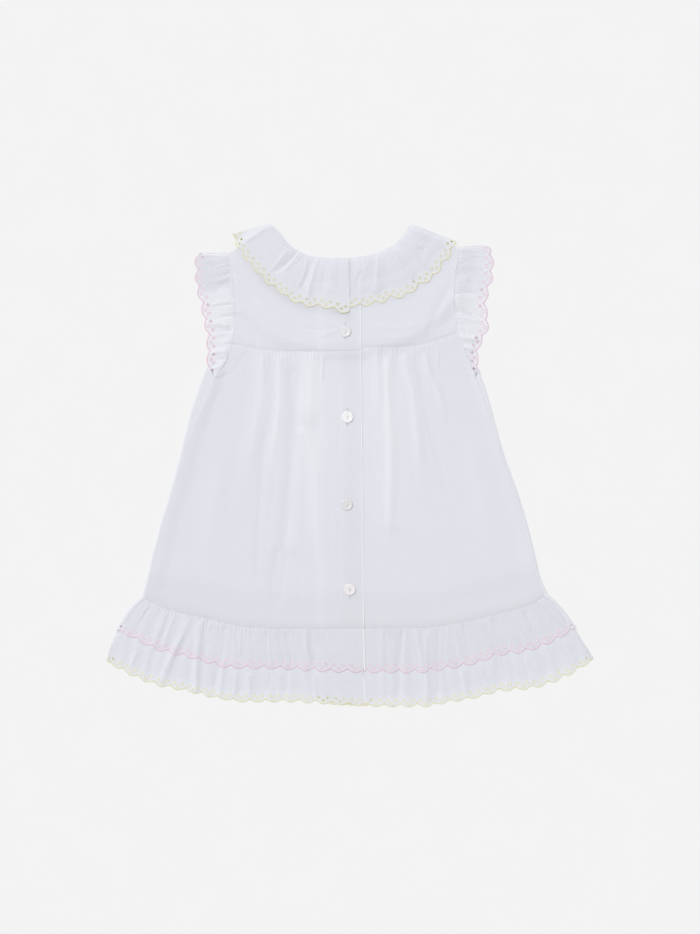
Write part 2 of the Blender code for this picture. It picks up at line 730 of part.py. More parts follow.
# A point on an armhole seam, moved off it by outward: above 0 to the left, below 0 to the right
def armholePoint(table, share, outward):
    x = column(table, 0)
    y = column(table, 1)
    stride = np.hypot(np.diff(x), np.diff(y))
    along = np.concatenate([[0.0], np.cumsum(stride)]) / stride.sum()
    here = np.array([np.interp(share, along, x), np.interp(share, along, y)])
    ahead = min(share + directionStep, 1.0)
    behind = max(share - directionStep, 0.0)
    run = np.array([
        np.interp(ahead, along, x) - np.interp(behind, along, x),
        np.interp(ahead, along, y) - np.interp(behind, along, y)])
    away = np.array([run[1], -run[0]]) / np.hypot(*run)
    if outward < 0.0:
        away = -away
    return here + away * abs(outward)


def buildSleeveFrill(name, armhole, folds, turn, outward, home):
    edgeTop = backHeight + sleeveSwell
    rows = []
    for share, edgeX, edgeY, rise in folds:
        seam = armholePoint(armhole, share, outward)
        level = backHeight + yokeRise(seam[0], seam[1], backRamp)
        rows.append((*seam, edgeX, edgeY, rise, level, edgeTop, 0.0))
    seam = armholePoint(armhole, 0.0, outward)
    seamTop = backHeight + yokeRise(seam[0], seam[1], backRamp)
    seamRadius = (seamTop - frontHeight) / 2.0
    edgeRadius = (edgeTop - frontHeight) / 2.0
    # Over the shoulder: the top, the outermost line and the underside of the turn
    for side in (1.0, 0.0, -1.0):
        inward = 1.0 - abs(side)
        rows.append((
            seam[0], seam[1] + seamRadius * inward, turn[0], turn[1] - edgeRadius * (1.0 - inward), 0.0,
            frontHeight + seamRadius * (1.0 + side), frontHeight + edgeRadius * (1.0 + side), 0.0))
    fromTop = np.linspace(len(folds) - 1, 0, frontSleeveWaves)
    knots = np.arange(len(folds))
    for place in fromTop:
        share = curve(knots, column(folds, 0), place)
        seam = armholePoint(armhole, float(share), outward)
        edge = np.array([curve(knots, column(folds, 1), place), curve(knots, column(folds, 2), place)])
        edge = blend(edge, seam, frontSleeveShort)
        rows.append((*seam, *edge, frontSleeveHeight, frontHeight, frontHeight, 0.0))
    at = places(0, len(rows) - 1, steps)
    cloth(name, stripGrid(rows, at, sleeveRows, 0.0, 1.0), home)


def turnedDisc(name, home):
    radius = button["diameter"] / 2.0
    thick = button["thickness"]
    inner = radius - button["rim"]
    face = thick - button["dish"]
    # Half section from the middle of the dished face round the rim to the middle of the underside
    profile = [
        (0.0, face), (inner, face), (inner + 0.5, thick), (radius - 0.4, thick),
        (radius, thick * 0.6), (radius - 0.5, 0.0), (0.0, 0.0),
    ]
    mesh = bpy.data.meshes.new(name)
    points = [(x * millimetre, 0.0, z * millimetre) for x, z in profile]
    edges = [(i, i + 1) for i in range(len(profile) - 1)]
    mesh.from_pydata(points, edges, [])
    item = addObject(name, mesh, material(name + "_pearl", pearlGrey, 0.25), home)
    turned = item.modifiers.new("turn", "SCREW")
    turned.steps = 16
    turned.render_steps = 16
    turned.use_merge_vertices = True
    turned.merge_threshold = 0.00001
    return item


def holeCutter(name, x, y, z, cutters):
    mesh = bpy.data.meshes.new(name)
    form = bmesh.new()
    for side in (-1.0, 1.0):
        made = bmesh.ops.create_cone(
            form, cap_ends=True, segments=8, radius1=button["hole"] / 2.0 * millimetre,
            radius2=button["hole"] / 2.0 * millimetre, depth=3.0 * button["thickness"] * millimetre)
        away = (0.0, side * button["spread"] / 2.0 * millimetre, 0.0)
        bmesh.ops.translate(form, verts=made["verts"], vec=away)
    form.to_mesh(mesh)
    form.free()
    cutter = bpy.data.objects.new(name, mesh)
    cutter.location = (x, y, z)
    cutter.hide_render = True
    cutter.display_type = "WIRE"
    cutters.objects.link(cutter)
    return cutter


def buildButtons(home, cutters):
    panelTop = backHeight + layer + wall / 2.0
    for number, (x, y) in enumerate(buttonPlaces, start=1):
        name = "button_" + str(number)
        disc = turnedDisc(name, home)
        seat = panelTop + yokeRise(x, y, backRamp) + 2.0 * seamGap
        place = (x * millimetre, y * millimetre, seat * millimetre)
        disc.location = place
        cutter = holeCutter(name + "_holes", *place, cutters)
        drill = disc.modifiers.new("holes", "BOOLEAN")
        drill.operation = "DIFFERENCE"
        drill.object = cutter


def main():
    removeObjects()
    home = bpy.data.collections.new("toddler_dress")
    cutters = bpy.data.collections.new("cutters")
    bpy.context.scene.collection.children.link(home)
    bpy.context.scene.collection.children.link(cutters)
    buildYokes(home)
    buildSkirts(home)
    buildHem(home)
    buildNeckFrill(home)
    buildSleeveFrill("sleeve_frill_left", armholeLeft, leftSleeveFolds, leftSleeveTurn,
                     sleeveOffset, home)
    buildSleeveFrill("sleeve_frill_right", armholeRight, rightSleeveFolds, rightSleeveTurn,
                     -sleeveOffset, home)
    buildButtons(home, cutters)


main()
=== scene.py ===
import math

import bpy
import numpy as np
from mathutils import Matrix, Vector
from mathutils.geometry import delaunay_2d_cdt


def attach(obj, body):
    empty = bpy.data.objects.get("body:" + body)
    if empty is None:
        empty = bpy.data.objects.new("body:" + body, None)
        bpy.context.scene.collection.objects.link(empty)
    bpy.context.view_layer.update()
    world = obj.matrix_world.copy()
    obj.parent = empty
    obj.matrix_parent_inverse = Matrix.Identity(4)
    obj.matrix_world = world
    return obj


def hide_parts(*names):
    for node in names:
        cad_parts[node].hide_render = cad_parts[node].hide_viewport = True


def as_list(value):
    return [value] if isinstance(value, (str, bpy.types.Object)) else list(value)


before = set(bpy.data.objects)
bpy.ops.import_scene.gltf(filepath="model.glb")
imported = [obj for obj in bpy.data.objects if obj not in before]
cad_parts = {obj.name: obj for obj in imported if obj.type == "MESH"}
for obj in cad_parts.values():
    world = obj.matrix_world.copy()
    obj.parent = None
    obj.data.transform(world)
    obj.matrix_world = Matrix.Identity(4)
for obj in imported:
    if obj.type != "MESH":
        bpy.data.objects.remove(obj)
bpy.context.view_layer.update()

# A toddler dress in white cotton, laid flat with its buttoned back up.
# Sizes and places are in millimetres, +Y runs from the hem to the neck and +Z is up.
millimetre = 0.001

# Heights of each cloth layer's middle above the floor
level = {
    "front": 0.5, "back": 1.85, "layer": 1.3, "collarRoom": 2.4, "collar": 5.5, "sideLift": 1.2,
    "hem": 4.0, "hemSwell": 0.5, "tierGap": 0.7, "tierSettle": 0.38, "hemFall": 3.34,
    "frontTierGap": 0.9, "frontEdge": 0.34, "sleeveEdge": 0.8,
    "placketLift": {"upper": 0.95, "lower": 1.05},
}

# Pieces sewn together stop this short of their seam.
seamGap = 0.05

# The left back lies over the right one between the two edges.
placket = {
    "underEdge": -19.0, "overEdge": 9.4, "rampStart": -33.0, "rampEnd": -20.5, "fold": -8.6,
    "settle": 0.98, "settleWidth": 17.0, "hemSettle": {"upper": 0.4, "lower": 0.15}, "edgeRoll": 0.1,
    "rollWidth": 0.9, "seamStep": 2.7, "stepFades": (8.0, 56.0),
}

# The flat roll along the placket's edge, painted bright as the edge's highlight: how far it lies beyond it,
# half width and height
placketRoll = {
    "back": {"shift": (0.3, 0.0, -0.02), "size": (0.62, 0.16)},
    "hem": {"shift": (0.5, 0.0, -0.2), "size": (0.8, 0.3)},
}


def smoothStep(low, high, value):
    share = np.clip((value - low) / (high - low), 0.0, 1.0)
    return share * share * (3.0 - 2.0 * share)


def fade(low, high, value):
    return 1.0 - smoothStep(low, high, value)


# 1 from the second to the third of the places, and 0 beyond the outer two
def window(value, start, full, ending, end):
    return smoothStep(start, full, value) * fade(ending, end, value)


def bell(value, width):
    return np.exp(-(value / width) ** 2)


def circle(sides):
    return np.linspace(0.0, 2.0 * math.pi, sides + 1)[:-1]


def blend(first, second, share):
    return first + (second - first) * share


# A smooth curve through values at knots that never swings past its neighbours.
def curve(knots, values, at):
    knots = np.asarray(knots, float)
    values = np.asarray(values, float)
    width = np.diff(knots)
    rise = np.diff(values) / width
    slopes = np.empty(len(knots))
    slopes[0] = rise[0]
    slopes[-1] = rise[-1]
    sameWay = rise[:-1] * rise[1:] > 0
    together = np.where(sameWay, rise[:-1] + rise[1:], 1.0)
    slopes[1:-1] = np.where(sameWay, 2.0 * rise[:-1] * rise[1:] / together, 0.0)
    at = np.clip(at, knots[0], knots[-1])
    first = np.clip(np.searchsorted(knots, at, side="right") - 1, 0, len(knots) - 2)
    span = width[first]
    share = (at - knots[first]) / span
    square = share * share
    cube = square * share
    start = (2.0 * cube - 3.0 * square + 1.0) * values[first]
    end = (3.0 * square - 2.0 * cube) * values[first + 1]
    leave = (cube - 2.0 * square + share) * span * slopes[first]
    arrive = (cube - square) * span * slopes[first + 1]
    return start + end + leave + arrive


def column(table, number):
    return np.array([row[number] for row in table], float)


# A table's column read at places between its rows, which count from 0
def between(table, number, at):
    return curve(np.arange(len(table)), column(table, number), at)


def lineY(table, x):
    return curve(column(table, 0), column(table, 1), x)


def lineX(table, y):
    order = np.argsort(column(table, 1))
    return curve(column(table, 1)[order], column(table, 0)[order], y)


def arcLength(points):
    stride = np.linalg.norm(np.diff(points, axis=0), axis=1)
    return np.concatenate([[0.0], np.cumsum(stride)])


# Uneven soft swells, the same each time: seed picks another pattern of the same size.
def ripple(x, y, size, seed):
    total = 0.0
    for turn in range(4):
        angle = seed * 1.7 + turn * 2.4
        pitch = size * (0.7 + 0.23 * turn)
        across = x * math.cos(angle) + y * math.sin(angle)
        total = total + np.sin(2.0 * math.pi * across / pitch + seed * 3.1 + turn * 1.3)
    return total / 4.0


def unevenness(piece, x, y, seed):
    return piece["uneven"] * ripple(x, y, piece["unevenSize"], seed)


# Small gathers under a stitched seam: place runs along the seam and away leads off it.
gathers = {
    "pitch": 3.1, "height": 0.56, "reach": 4.6, "longPitch": 8.3, "longHeight": 0.26, "longReach": 12.0,
    "skew": 0.7,
}


def puckers(place, away, seed):
    drift = 1.5 * np.sin(place / 11.0 + seed) + 1.1 * np.sin(place / 5.3 + 2.0 * seed)
    small = 2.0 * math.pi * place / gathers["pitch"] + drift
    small = np.sin(small + gathers["skew"] * np.sin(small))
    long = 2.0 * math.pi * place / gathers["longPitch"] + 1.7 * drift + seed
    long = np.sin(long + gathers["skew"] * np.sin(long))
    uneven = 0.55 + 0.45 * np.sin(place / 7.3 + 1.3 * seed) * np.sin(place / 3.1 + seed)
    near = np.exp(-away / (gathers["reach"] * (0.5 + uneven))) * gathers["height"] * (0.35 + uneven)
    far = np.exp(-away / (gathers["longReach"] * (0.6 + 0.6 * uneven))) * gathers["longHeight"]
    rise = smoothStep(0.0, 1.6, away)
    return (small * near + long * uneven * far) * rise


# A fold is 1 on its ridge at a whole column and 0 in the valleys half way to the next ones.
# A lean of 1 gives it a crisp ridge with a steep right side, and -1 a steep left side.
def foldWave(place, leans):
    nearest = np.clip(np.round(place).astype(int), 0, len(leans) - 1)
    lean = leans[nearest]
    away = np.clip((place - nearest) * 2.0, -1.0, 1.0)
    power = np.where(away > 0.0, 2.0 ** -lean, 2.0 ** lean)
    return (1.0 + np.cos(math.pi * np.abs(away) ** power)) / 2.0


# Creases are ridges, or troughs with a rise below 0. Each has its rise, its widths on the low
# and the high side, the lengths of its fading low and high ends, and its line.
def creaseHeight(x, y, creases):
    total = np.zeros(np.broadcast(x, y).shape)
    for rise, widths, fades, line in creases:
        reach = np.abs(np.subtract(line[0], line[-1]))
        down = reach[1] > reach[0]
        line = sorted((b, a) if down else (a, b) for a, b in line)
        run, cross = (y, x) if down else (x, y)
        knots = column(line, 0)
        away = cross - curve(knots, column(line, 1), run)
        share = np.abs(away) / np.where(away > 0.0, widths[1], widths[0])
        share = np.minimum((np.hypot(share, 0.12) - 0.12) / 0.887, 1.0)
        low = smoothStep(knots[0] - 0.5, knots[0] + fades[0], run)
        high = fade(knots[-1] - fades[1], knots[-1] + 0.5, run)
        total = total + rise * (1.0 - share) ** 1.5 * low * high
    return total


# Shader maths: an expression on sockets adds its Math nodes.
class Socket:
    def __init__(self, paint, output):
        self.paint = paint
        self.output = output

    def math(self, operation, first, second=0.0):
        return self.paint.node("Math", {"operation": operation}, {0: first, 1: second})

    def __add__(self, other):
        return self.math("ADD", self, other)

    def __radd__(self, other):
        return self.math("ADD", other, self)

    def __sub__(self, other):
        return self.math("SUBTRACT", self, other)

    def __rsub__(self, other):
        return self.math("SUBTRACT", other, self)

    def __mul__(self, other):
        return self.math("MULTIPLY", self, other)

    def __rmul__(self, other):
        return self.math("MULTIPLY", other, self)

    def sine(self):
        return self.math("SINE", self)


# One material: surface() sets its shader, and node() adds any other node, its settings first.
class Paint:
    def __init__(self, name, **values):
        self.material = bpy.data.materials.new(name)
        self.material.use_nodes = True
        self.tree = self.material.node_tree
        self.shader = self.tree.nodes["Principled BSDF"]
        self.surface(**values)

    def surface(self, **values):
        for key, value in values.items():
            self.set(self.shader, key.replace("_", " "), value)

    def set(self, node, key, value):
        slot = node.inputs[key]
        if isinstance(value, Socket):
            self.tree.links.new(value.output, slot)
        elif slot.type == "RGBA":
            slot.default_value = (*value, 1.0)
        else:
            slot.default_value = value

    def node(self, kind, settings=None, values=None, output=0):
        made = self.tree.nodes.new("ShaderNode" + kind)
        for key, value in (settings or {}).items():
            setattr(made, key, value)
        for key, value in (values or {}).items():
            self.set(made, key, value)
        return Socket(self, made.outputs[output])

    def attribute(self, name, output="Fac"):
        return self.node("Attribute", {"attribute_name": name}, output=output)

    def mix(self, first, second, share):
        settings = {"data_type": "RGBA"}
        return self.node("Mix", settings, {"Factor": share, 6: first, 7: second}, output=2)

    def bump(self, height, strength, distance):
        values = {"Height": height, "Strength": strength, "Distance": distance * millimetre}
        self.surface(Normal=self.node("Bump", None, values))


# The cloth's own colour, a fainter tone for its random clouding, and the darker and paler colours of its
# painted shade and light
cotton = {
    "colour": (0.782, 0.796, 0.868), "faint": (0.80, 0.812, 0.868), "layersAndPaintedShade": (0.705, 0.709, 0.755),
    "singleAndPaintedLight": (0.93, 0.935, 0.968), "threadPitch": 0.42, "through": 0.12, "throughReach": 1.0,
}


def cottonFinish(name):
    # Light passes through thin cotton, so gaps and folds stay pale.
    paint = Paint(
        name, Sheen_Weight=0.25, Sheen_Roughness=0.5, Specular_IOR_Level=0.3,
        Subsurface_Weight=cotton["through"], Subsurface_Radius=(1.0, 1.0, 1.0),
        Subsurface_Scale=cotton["throughReach"] * millimetre)
    cut = paint.attribute("cut", "Vector")
    # Warp and weft cross over and under each other.
    across = paint.node("SeparateXYZ", None, {0: cut})
    down = Socket(paint, across.output.node.outputs[1])
    turns = 2.0 * math.pi / (cotton["threadPitch"] * millimetre)
    weft = (across * turns).sine()
    warp = (down * turns).sine()
    slub = paint.node("TexNoise", None, {"Vector": cut, "Scale": 900.0, "Detail": 3.0})
    cloud = paint.node("TexNoise", None, {"Vector": cut, "Scale": 26.0, "Detail": 2.0})
    paint.bump(weft * warp * 0.5 + slub * 1.4, 0.5, 0.09)
    plain = paint.mix(cotton["colour"], cotton["faint"], cloud)
    # Painted shade and light: above 0 the cloth is painted darker where layers lie together and where shade
    # is painted, below 0 paler where a single layer shines through and where light is painted.
    layers = paint.attribute("layersAndPaintedShade")
    colour = paint.mix(plain, cotton["layersAndPaintedShade"], layers)
    colour = paint.mix(colour, cotton["singleAndPaintedLight"], 0.0 - layers)
    paint.surface(Base_Color=colour, Roughness=0.80 + slub * 0.12)
    return paint.material


def threadFinish(name, colour, shadow):
    paint = Paint(name, Sheen_Weight=0.3)
    stripes = paint.attribute("twist").sine()
    paint.bump(stripes, 0.5, 0.08)
    colour = paint.mix(colour, shadow, 0.35 - stripes * 0.3)
    paint.surface(Base_Color=colour, Roughness=0.55 + stripes * 0.08)
    return paint.material


def pearlFinish(name, colour, depth, shift):
    paint = Paint(name, Coat_Weight=0.6, Coat_Roughness=0.08)
    place = paint.node("TexCoord", output=3)
    moved = paint.node("VectorMath", {"operation": "ADD"}, {0: place, 1: (shift, 0.0, 0.0)})
    values = {"Vector": moved, "Scale": 240.0, "Detail": 4.0, "Distortion": 1.6}
    swirl = paint.node("TexNoise", None, values)
    glint = paint.node("TexNoise", None, {"Vector": moved, "Scale": 90.0, "Detail": 1.0})
    paint.surface(Base_Color=paint.mix(colour, depth, swirl), Roughness=0.14 + glint * 0.2)
    paint.bump(swirl, 0.12, 0.2)
    return paint.material


def placeObject(name, data):
    item = bpy.data.objects.new(name, data)
    bpy.context.scene.collection.objects.link(item)
    return item


def addObject(name, mesh, finish):
    item = placeObject(name, mesh)
    mesh.materials.append(finishes[finish])
    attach(item, "root")
    return item


# backYokeLeft stands for the node back_yoke_left.
def nodeName(name):
    return "".join("_" + letter.lower() if letter.isupper() else letter for letter in name)


def makeMesh(name, points, faces, numbers=None):
    mesh = bpy.data.meshes.new(name)
    mesh.from_pydata((np.asarray(points) * millimetre).tolist(), [], faces)
    for key, values in (numbers or {}).items():
        kind = "FLOAT_VECTOR" if values.ndim == 2 else "FLOAT"
        layer = mesh.attributes.new(key, kind, "POINT")
        layer.data.foreach_set("vector" if values.ndim == 2 else "value", values.ravel())
    mesh.shade_smooth()
    return mesh


# A sheet of cloth is an open surface with a thin wall and crisp cut edges.
clothThickness = 0.24


def addSheet(name, points, faces, cut, layersAndPaintedShade, flat, restsOn):
    numbers = {"cut": np.column_stack([cut * millimetre, np.zeros(len(cut))]), "layersAndPaintedShade": layersAndPaintedShade}
    mesh = makeMesh(name, points, faces, numbers)
    edgeOfLoop = np.empty(len(mesh.loops), np.int32)
    mesh.loops.foreach_get("edge_index", edgeOfLoop)
    openEdges = np.bincount(edgeOfLoop, minlength=len(mesh.edges)) == 1
    sharp = mesh.attributes.new("sharp_edge", "BOOLEAN", "EDGE")
    sharp.data.foreach_set("value", openEdges)
    item = addObject(name, mesh, "cotton")
    wall = item.modifiers.new("wall", "SOLIDIFY")
    wall.thickness = clothThickness * millimetre
    wall.offset = 0.0
    node = nodeName(name)
    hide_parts(node)
    width, length = flat
    width * millimetre
    length * millimetre
    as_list(restsOn)


def gridFaces(across, along):
    corner = (np.arange(across - 1)[:, None] * along + np.arange(along - 1)).ravel()
    return np.column_stack([corner, corner + along, corner + along + 1, corner + 1]).tolist()


# Panels are made from a grid of points: columns across, rows from the top down.
def addPanel(name, grid, layersAndPaintedShade, flat, restsOn):
    points = grid.reshape(-1, 3)
    faces = gridFaces(*grid.shape[:2])
    addSheet(name, points, faces, points[:, :2], layersAndPaintedShade.ravel(), flat, restsOn)


# Scalloped edges with eyelets, all in the flat cloth: across from a scallop's middle, depth from its tip
scallop = {"pitch": 15.0, "depth": 3.5, "band": 11.0, "columns": 19, "rows": 9, "clear": 0.6}
eyelet = {"hole": 0.87, "ring": 1.42, "ringWidth": 0.58, "ringHeight": 0.2, "sides": 14, "clear": 0.2}
eyeletPlaces = [(-3.9, 6.6), (3.9, 6.6), (0.0, 3.5)]
satin = {
    "width": 0.72, "height": 0.28, "inset": 0.3, "stitchPitch": 0.5, "cusp": 0.5, "cuspWidth": 1.1,
    "steps": 20, "sides": 8, "ringSides": 6, "ringTwist": 16.0,
}


def scallopLine(x):
    return scallop["depth"] * (1.0 - np.cos(math.pi * x / scallop["pitch"]))


def scallopCell():
    half = scallop["pitch"] / 2.0
    across = np.linspace(-half, half, scallop["columns"] + 1)
    points = [(x, scallop["band"]) for x in across]
    points += [(x, float(scallopLine(x))) for x in across]
    reach = eyelet["ring"] + eyelet["ringWidth"] + eyelet["clear"]
    for depth in np.linspace(scallop["band"], 0.0, scallop["rows"] + 1)[1:]:
        for x in across:
            beside = all(math.hypot(x - a, depth - b) > reach for a, b in eyeletPlaces)
            if beside and depth - scallopLine(x) > scallop["clear"]:
                points.append((x, depth))
    edges = []
    sides = eyelet["sides"]
    for middle, height in eyeletPlaces:
        for radius in (eyelet["hole"], eyelet["ring"] + eyelet["ringWidth"] * 0.8):
            start = len(points)
            for side, angle in enumerate(circle(sides)):
                points.append((middle + radius * math.cos(angle), height + radius * math.sin(angle)))
                edges.append((start + side, start + (side + 1) % sides))
    made = delaunay_2d_cdt([Vector(point) for point in points], edges, [], 0, 1e-5)
    places = np.array([tuple(point) for point in made[0]])
    faces = []
    for face in made[2]:
        x, depth = places[list(face)].mean(axis=0)
        if all(math.hypot(x - a, depth - b) >= eyelet["hole"] for a, b in eyeletPlaces):
            faces.append(tuple(face))
    return places, np.array(faces)


# A gathered strip: place(column, share) gives its points from the seam (0) to the scallops' tips (1).
# along runs on the flat edge and depth is the distance from the tips.
class Strip:
    def __init__(self, place, columns, samples=48):
        self.place = place
        self.columns = np.linspace(0.0, columns, int(columns * samples) + 1)
        shares = np.linspace(0.0, 1.0, 9)
        rulings = [place(self.columns, np.full(len(self.columns), share)) for share in shares]
        run = arcLength(rulings[-1])
        self.scallops = max(1, round(run[-1] / scallop["pitch"]))
        self.length = self.scallops * scallop["pitch"]
        self.knots = run * self.length / run[-1]
        self.depths = sum(np.linalg.norm(b - a, axis=1) for a, b in zip(rulings, rulings[1:]))

    def share(self, along, depth):
        return 1.0 - depth / np.interp(along, self.knots, self.depths)

    def points(self, along, share):
        return self.place(np.interp(along, self.knots, self.columns), share)

    # Points lifted off the cloth along its normal
    def lifted(self, along, depth, lift):
        step = 0.12
        along = np.clip(along, step, self.length - step)
        middle = self.points(along, self.share(along, depth))
        onward = self.points(along + step, self.share(along + step, depth))
        inward = self.points(along, self.share(along, depth + step))
        normal = np.cross(onward - middle, inward - middle)
        length = np.maximum(np.linalg.norm(normal, axis=1), 1e-9)
        return middle + normal * (lift / length)[:, None]


def addStrip(name, strip, rows, flatDepth, restsOn, layersAndShading=None):
    cellPlaces, cellFaces = cell
    pitch, band = scallop["pitch"], scallop["band"]
    lines = np.linspace(0.0, strip.length, strip.scallops * scallop["columns"] + 1)
    # Rows above the band have places past it, from band to band + 1 at the seam.
    heights = band + np.linspace(0.0, 1.0, rows + 1)
    grid = np.stack(np.meshgrid(lines, heights, indexing="ij"), axis=-1).reshape(-1, 2)
    places = [grid]
    triangles = []
    start = len(grid)
    for number in range(strip.scallops):
        places.append(cellPlaces + np.array([(number + 0.5) * pitch, 0.0]))
        triangles.append(cellFaces + start)
        start += len(cellPlaces)
    # Points in the same place become one.
    unique, where = np.unique(np.round(np.concatenate(places), 3), axis=0, return_inverse=True)
    where = where.ravel()
    faces = where[np.array(gridFaces(len(lines), len(heights)))].tolist()
    faces += where[np.concatenate(triangles)].tolist()
    along, height = unique.T
    length = np.interp(along, strip.knots, strip.depths)
    inBand = height <= band + 1e-6
    share = np.where(inBand, 1.0 - height / length, (1.0 - band / length) * (1.0 - (height - band)))
    points = strip.points(along, share)
    # The strip's painted shade and light, from its own tone function
    layersAndPaintedShade = np.zeros(len(points)) if layersAndShading is None else layersAndShading(points, share)
    cut = np.column_stack([along, (1.0 - share) * length])
    addSheet(name, points, faces, cut, layersAndPaintedShade, (strip.length, flatDepth), restsOn)


# The faces of a tube: rings of points joined one to the next, with closed ends or as a closed ring
def sweep(rings, start=0, closed=False):
    steps, sides = rings.shape[:2]
    faces = []
    for step in range(steps if closed else steps - 1):
        here = start + step * sides
        onward = start + (step + 1) % steps * sides
        for side in range(sides):
            beside = (side + 1) % sides
            faces.append((here + side, here + beside, onward + beside, onward + side))
    if not closed:
        last = start + (steps - 1) * sides
        faces.append(tuple(range(start, start + sides))[::-1])
        faces.append(tuple(range(last, last + sides)))
    return faces


# Each tube has its rings, the twist at each of its points and whether it is a closed ring.
def addTubes(name, tubes, finish):
    faces = []
    start = 0
    for rings, _, closed in tubes:
        faces += sweep(rings, start, closed)
        start += rings.shape[0] * rings.shape[1]
    points = np.concatenate([rings.reshape(-1, 3) for rings, _, _ in tubes])
    twist = np.concatenate([twist.ravel() for _, twist, _ in tubes])
    addObject(name, makeMesh(name, points, faces, {"twist": twist}), finish)


# The satin-stitched line along the scallops, and a ring of stitches round each eyelet
def addEmbroidery(name, strip, finish):
    pitch = scallop["pitch"]
    turn = circle(satin["sides"])
    steps = strip.scallops * satin["steps"] + 1
    along = np.linspace(0.0, strip.length, steps)
    across = (along % pitch) - pitch / 2.0
    depth = scallopLine(across) + satin["inset"]
    # The stitches heap up where two scallops meet.
    heaped = 1.0 + satin["cusp"] * bell(pitch / 2.0 - np.abs(across), satin["cuspWidth"])
    ringAlong = np.repeat(along, len(turn))
    ringDepth = (depth[:, None] + heaped[:, None] * satin["width"] * np.cos(turn)).ravel()
    lift = (heaped[:, None] * satin["height"] * np.sin(turn)).ravel()
    rings = strip.lifted(ringAlong, ringDepth, lift).reshape(steps, len(turn), 3)
    tubes = [(rings, ringAlong * 2.0 * math.pi / satin["stitchPitch"], False)]
    around, section = circle(eyelet["sides"]), circle(satin["ringSides"])
    angle = np.repeat(around, len(section))
    radius = eyelet["ring"] + eyelet["ringWidth"] * np.tile(np.cos(section), len(around))
    height = eyelet["ringHeight"] * np.tile(np.sin(section), len(around))
    for number in range(strip.scallops):
        for middle, up in eyeletPlaces:
            ringAlong = (number + 0.5) * pitch + middle + radius * np.cos(angle)
            rings = strip.lifted(ringAlong, up + radius * np.sin(angle), height)
            rings = rings.reshape(len(around), len(section), 3)
            tubes.append((rings, angle * satin["ringTwist"], True))
    addTubes(name, tubes, finish)


# Round thread along each line of points, or a narrow roll that lies flat
def addCords(name, lines, width, height, finish, flat=False):
    sides, twisting = (8, 5.0) if flat else (6, 9.0)
    turn = circle(sides)
    tubes = []
    for line in lines:
        onward = np.gradient(line, axis=0)
        onward /= np.linalg.norm(onward, axis=1)[:, None]
        aside = (1.0, 0.0, 0.0) if abs(onward[0][0]) < 0.8 else (0.0, 1.0, 0.0)
        across = np.cross(onward, (0.0, 0.0, -1.0) if flat else aside)
        across /= np.linalg.norm(across, axis=1)[:, None]
        up = np.cross(onward, across)
        rings = (line[:, None] + across[:, None] * (width * np.cos(turn))[None, :, None]
                 + up[:, None] * (height * np.sin(turn))[None, :, None])
        tubes.append((rings, arcLength(line)[:, None] * twisting + turn, False))
    addTubes(name, tubes, finish)


def addBead(name, line, width, height, finish):
    addCords(name, [line], width, height, finish, flat=True)


finishes = {
    "cotton": cottonFinish("cotton_poplin"),
    "yellow": threadFinish("yellow_thread", (0.84, 0.82, 0.60), (0.75, 0.72, 0.47)),
    "pink": threadFinish("pink_thread", (0.86, 0.69, 0.79), (0.77, 0.57, 0.69)),
    "white": threadFinish("white_thread", (0.84, 0.85, 0.90), (0.72, 0.74, 0.80)),
    "bright": threadFinish("bright_thread", (0.93, 0.93, 0.95), (0.84, 0.85, 0.89)),
    "slit": threadFinish("slit_shadow", (0.84, 0.86, 0.91), (0.76, 0.78, 0.84)),
}
cell = scallopCell()
print("cotton, thread and one scallop's cut work are ready")


# The garment's own lines, left to right or top to bottom: x, y
neckLine = [
    (-112.3, 194.9), (-91.5, 207.5), (-70.8, 220.4), (-67.5, 218), (-61.4, 211.4),
    (-56.1, 203.4), (-47.8, 198.4), (-39.4, 194.6), (-28, 192.3), (-12.8, 191.7),
    (-1.9, 191.8), (12.7, 193.5), (24.2, 196), (34, 200.1), (40.6, 204.1),
    (47.1, 210.3), (51, 216), (54.8, 220.8), (77.2, 210.5), (99.5, 200.2),
]
armholeLeft = [
    (-112.3, 194.9), (-109.6, 181.2), (-107.5, 167.5), (-106.3, 152.8), (-105.5, 138.1),
    (-106.6, 125.4), (-108.8, 113.5), (-113, 99.5), (-118.3, 90), (-124.2, 82),
]
armholeRight = [
    (99.5, 200.2), (98.6, 190.5), (96.3, 178), (95.4, 163.3), (95.8, 146.7),
    (96.9, 133.9), (98.9, 123.7), (104.4, 108), (109, 97), (115.2, 82),
]
yokeLine = [
    (-108.8, 113.5), (-82.6, 108.7), (-55.7, 106.3), (-23.8, 106.2), (7.9, 107),
    (31.7, 109.2), (55.6, 111.2), (71.5, 114.2), (87.4, 119.4), (98.9, 123.7),
]
hemSeam = [
    (-191.2, -119.4), (-165.6, -130.9), (-133.1, -138.3), (-100.1, -146), (-62.7, -148.1),
    (12.1, -147.9), (64.6, -147.4), (105.5, -141.7), (131.6, -135.8), (162.3, -127.7),
    (181.2, -116.4),
]
pinkEdge = [
    (-214.2, -149.5), (-203.3, -155), (-179.6, -166.8), (-145.4, -175.5), (-108.8, -184.5),
    (-66.4, -185.2), (-10.3, -188), (54.7, -188.8), (90.7, -185.2), (115.4, -180.2),
    (138, -172.5), (160.6, -169.6), (186.9, -159.7), (207.5, -147.5),
]
yellowEdge = [
    (-223.5, -179), (-203.3, -190.4), (-177.9, -200.4), (-149.7, -206.2), (-120.4, -213),
    (-95.5, -216), (-58, -215.8), (-8, -218.4), (35, -220.3), (68.6, -220),
    (91.5, -216.2), (116.8, -212.1), (138.6, -206), (165, -203.9), (187.3, -197.5),
    (208.8, -187), (223.9, -176.8),
]

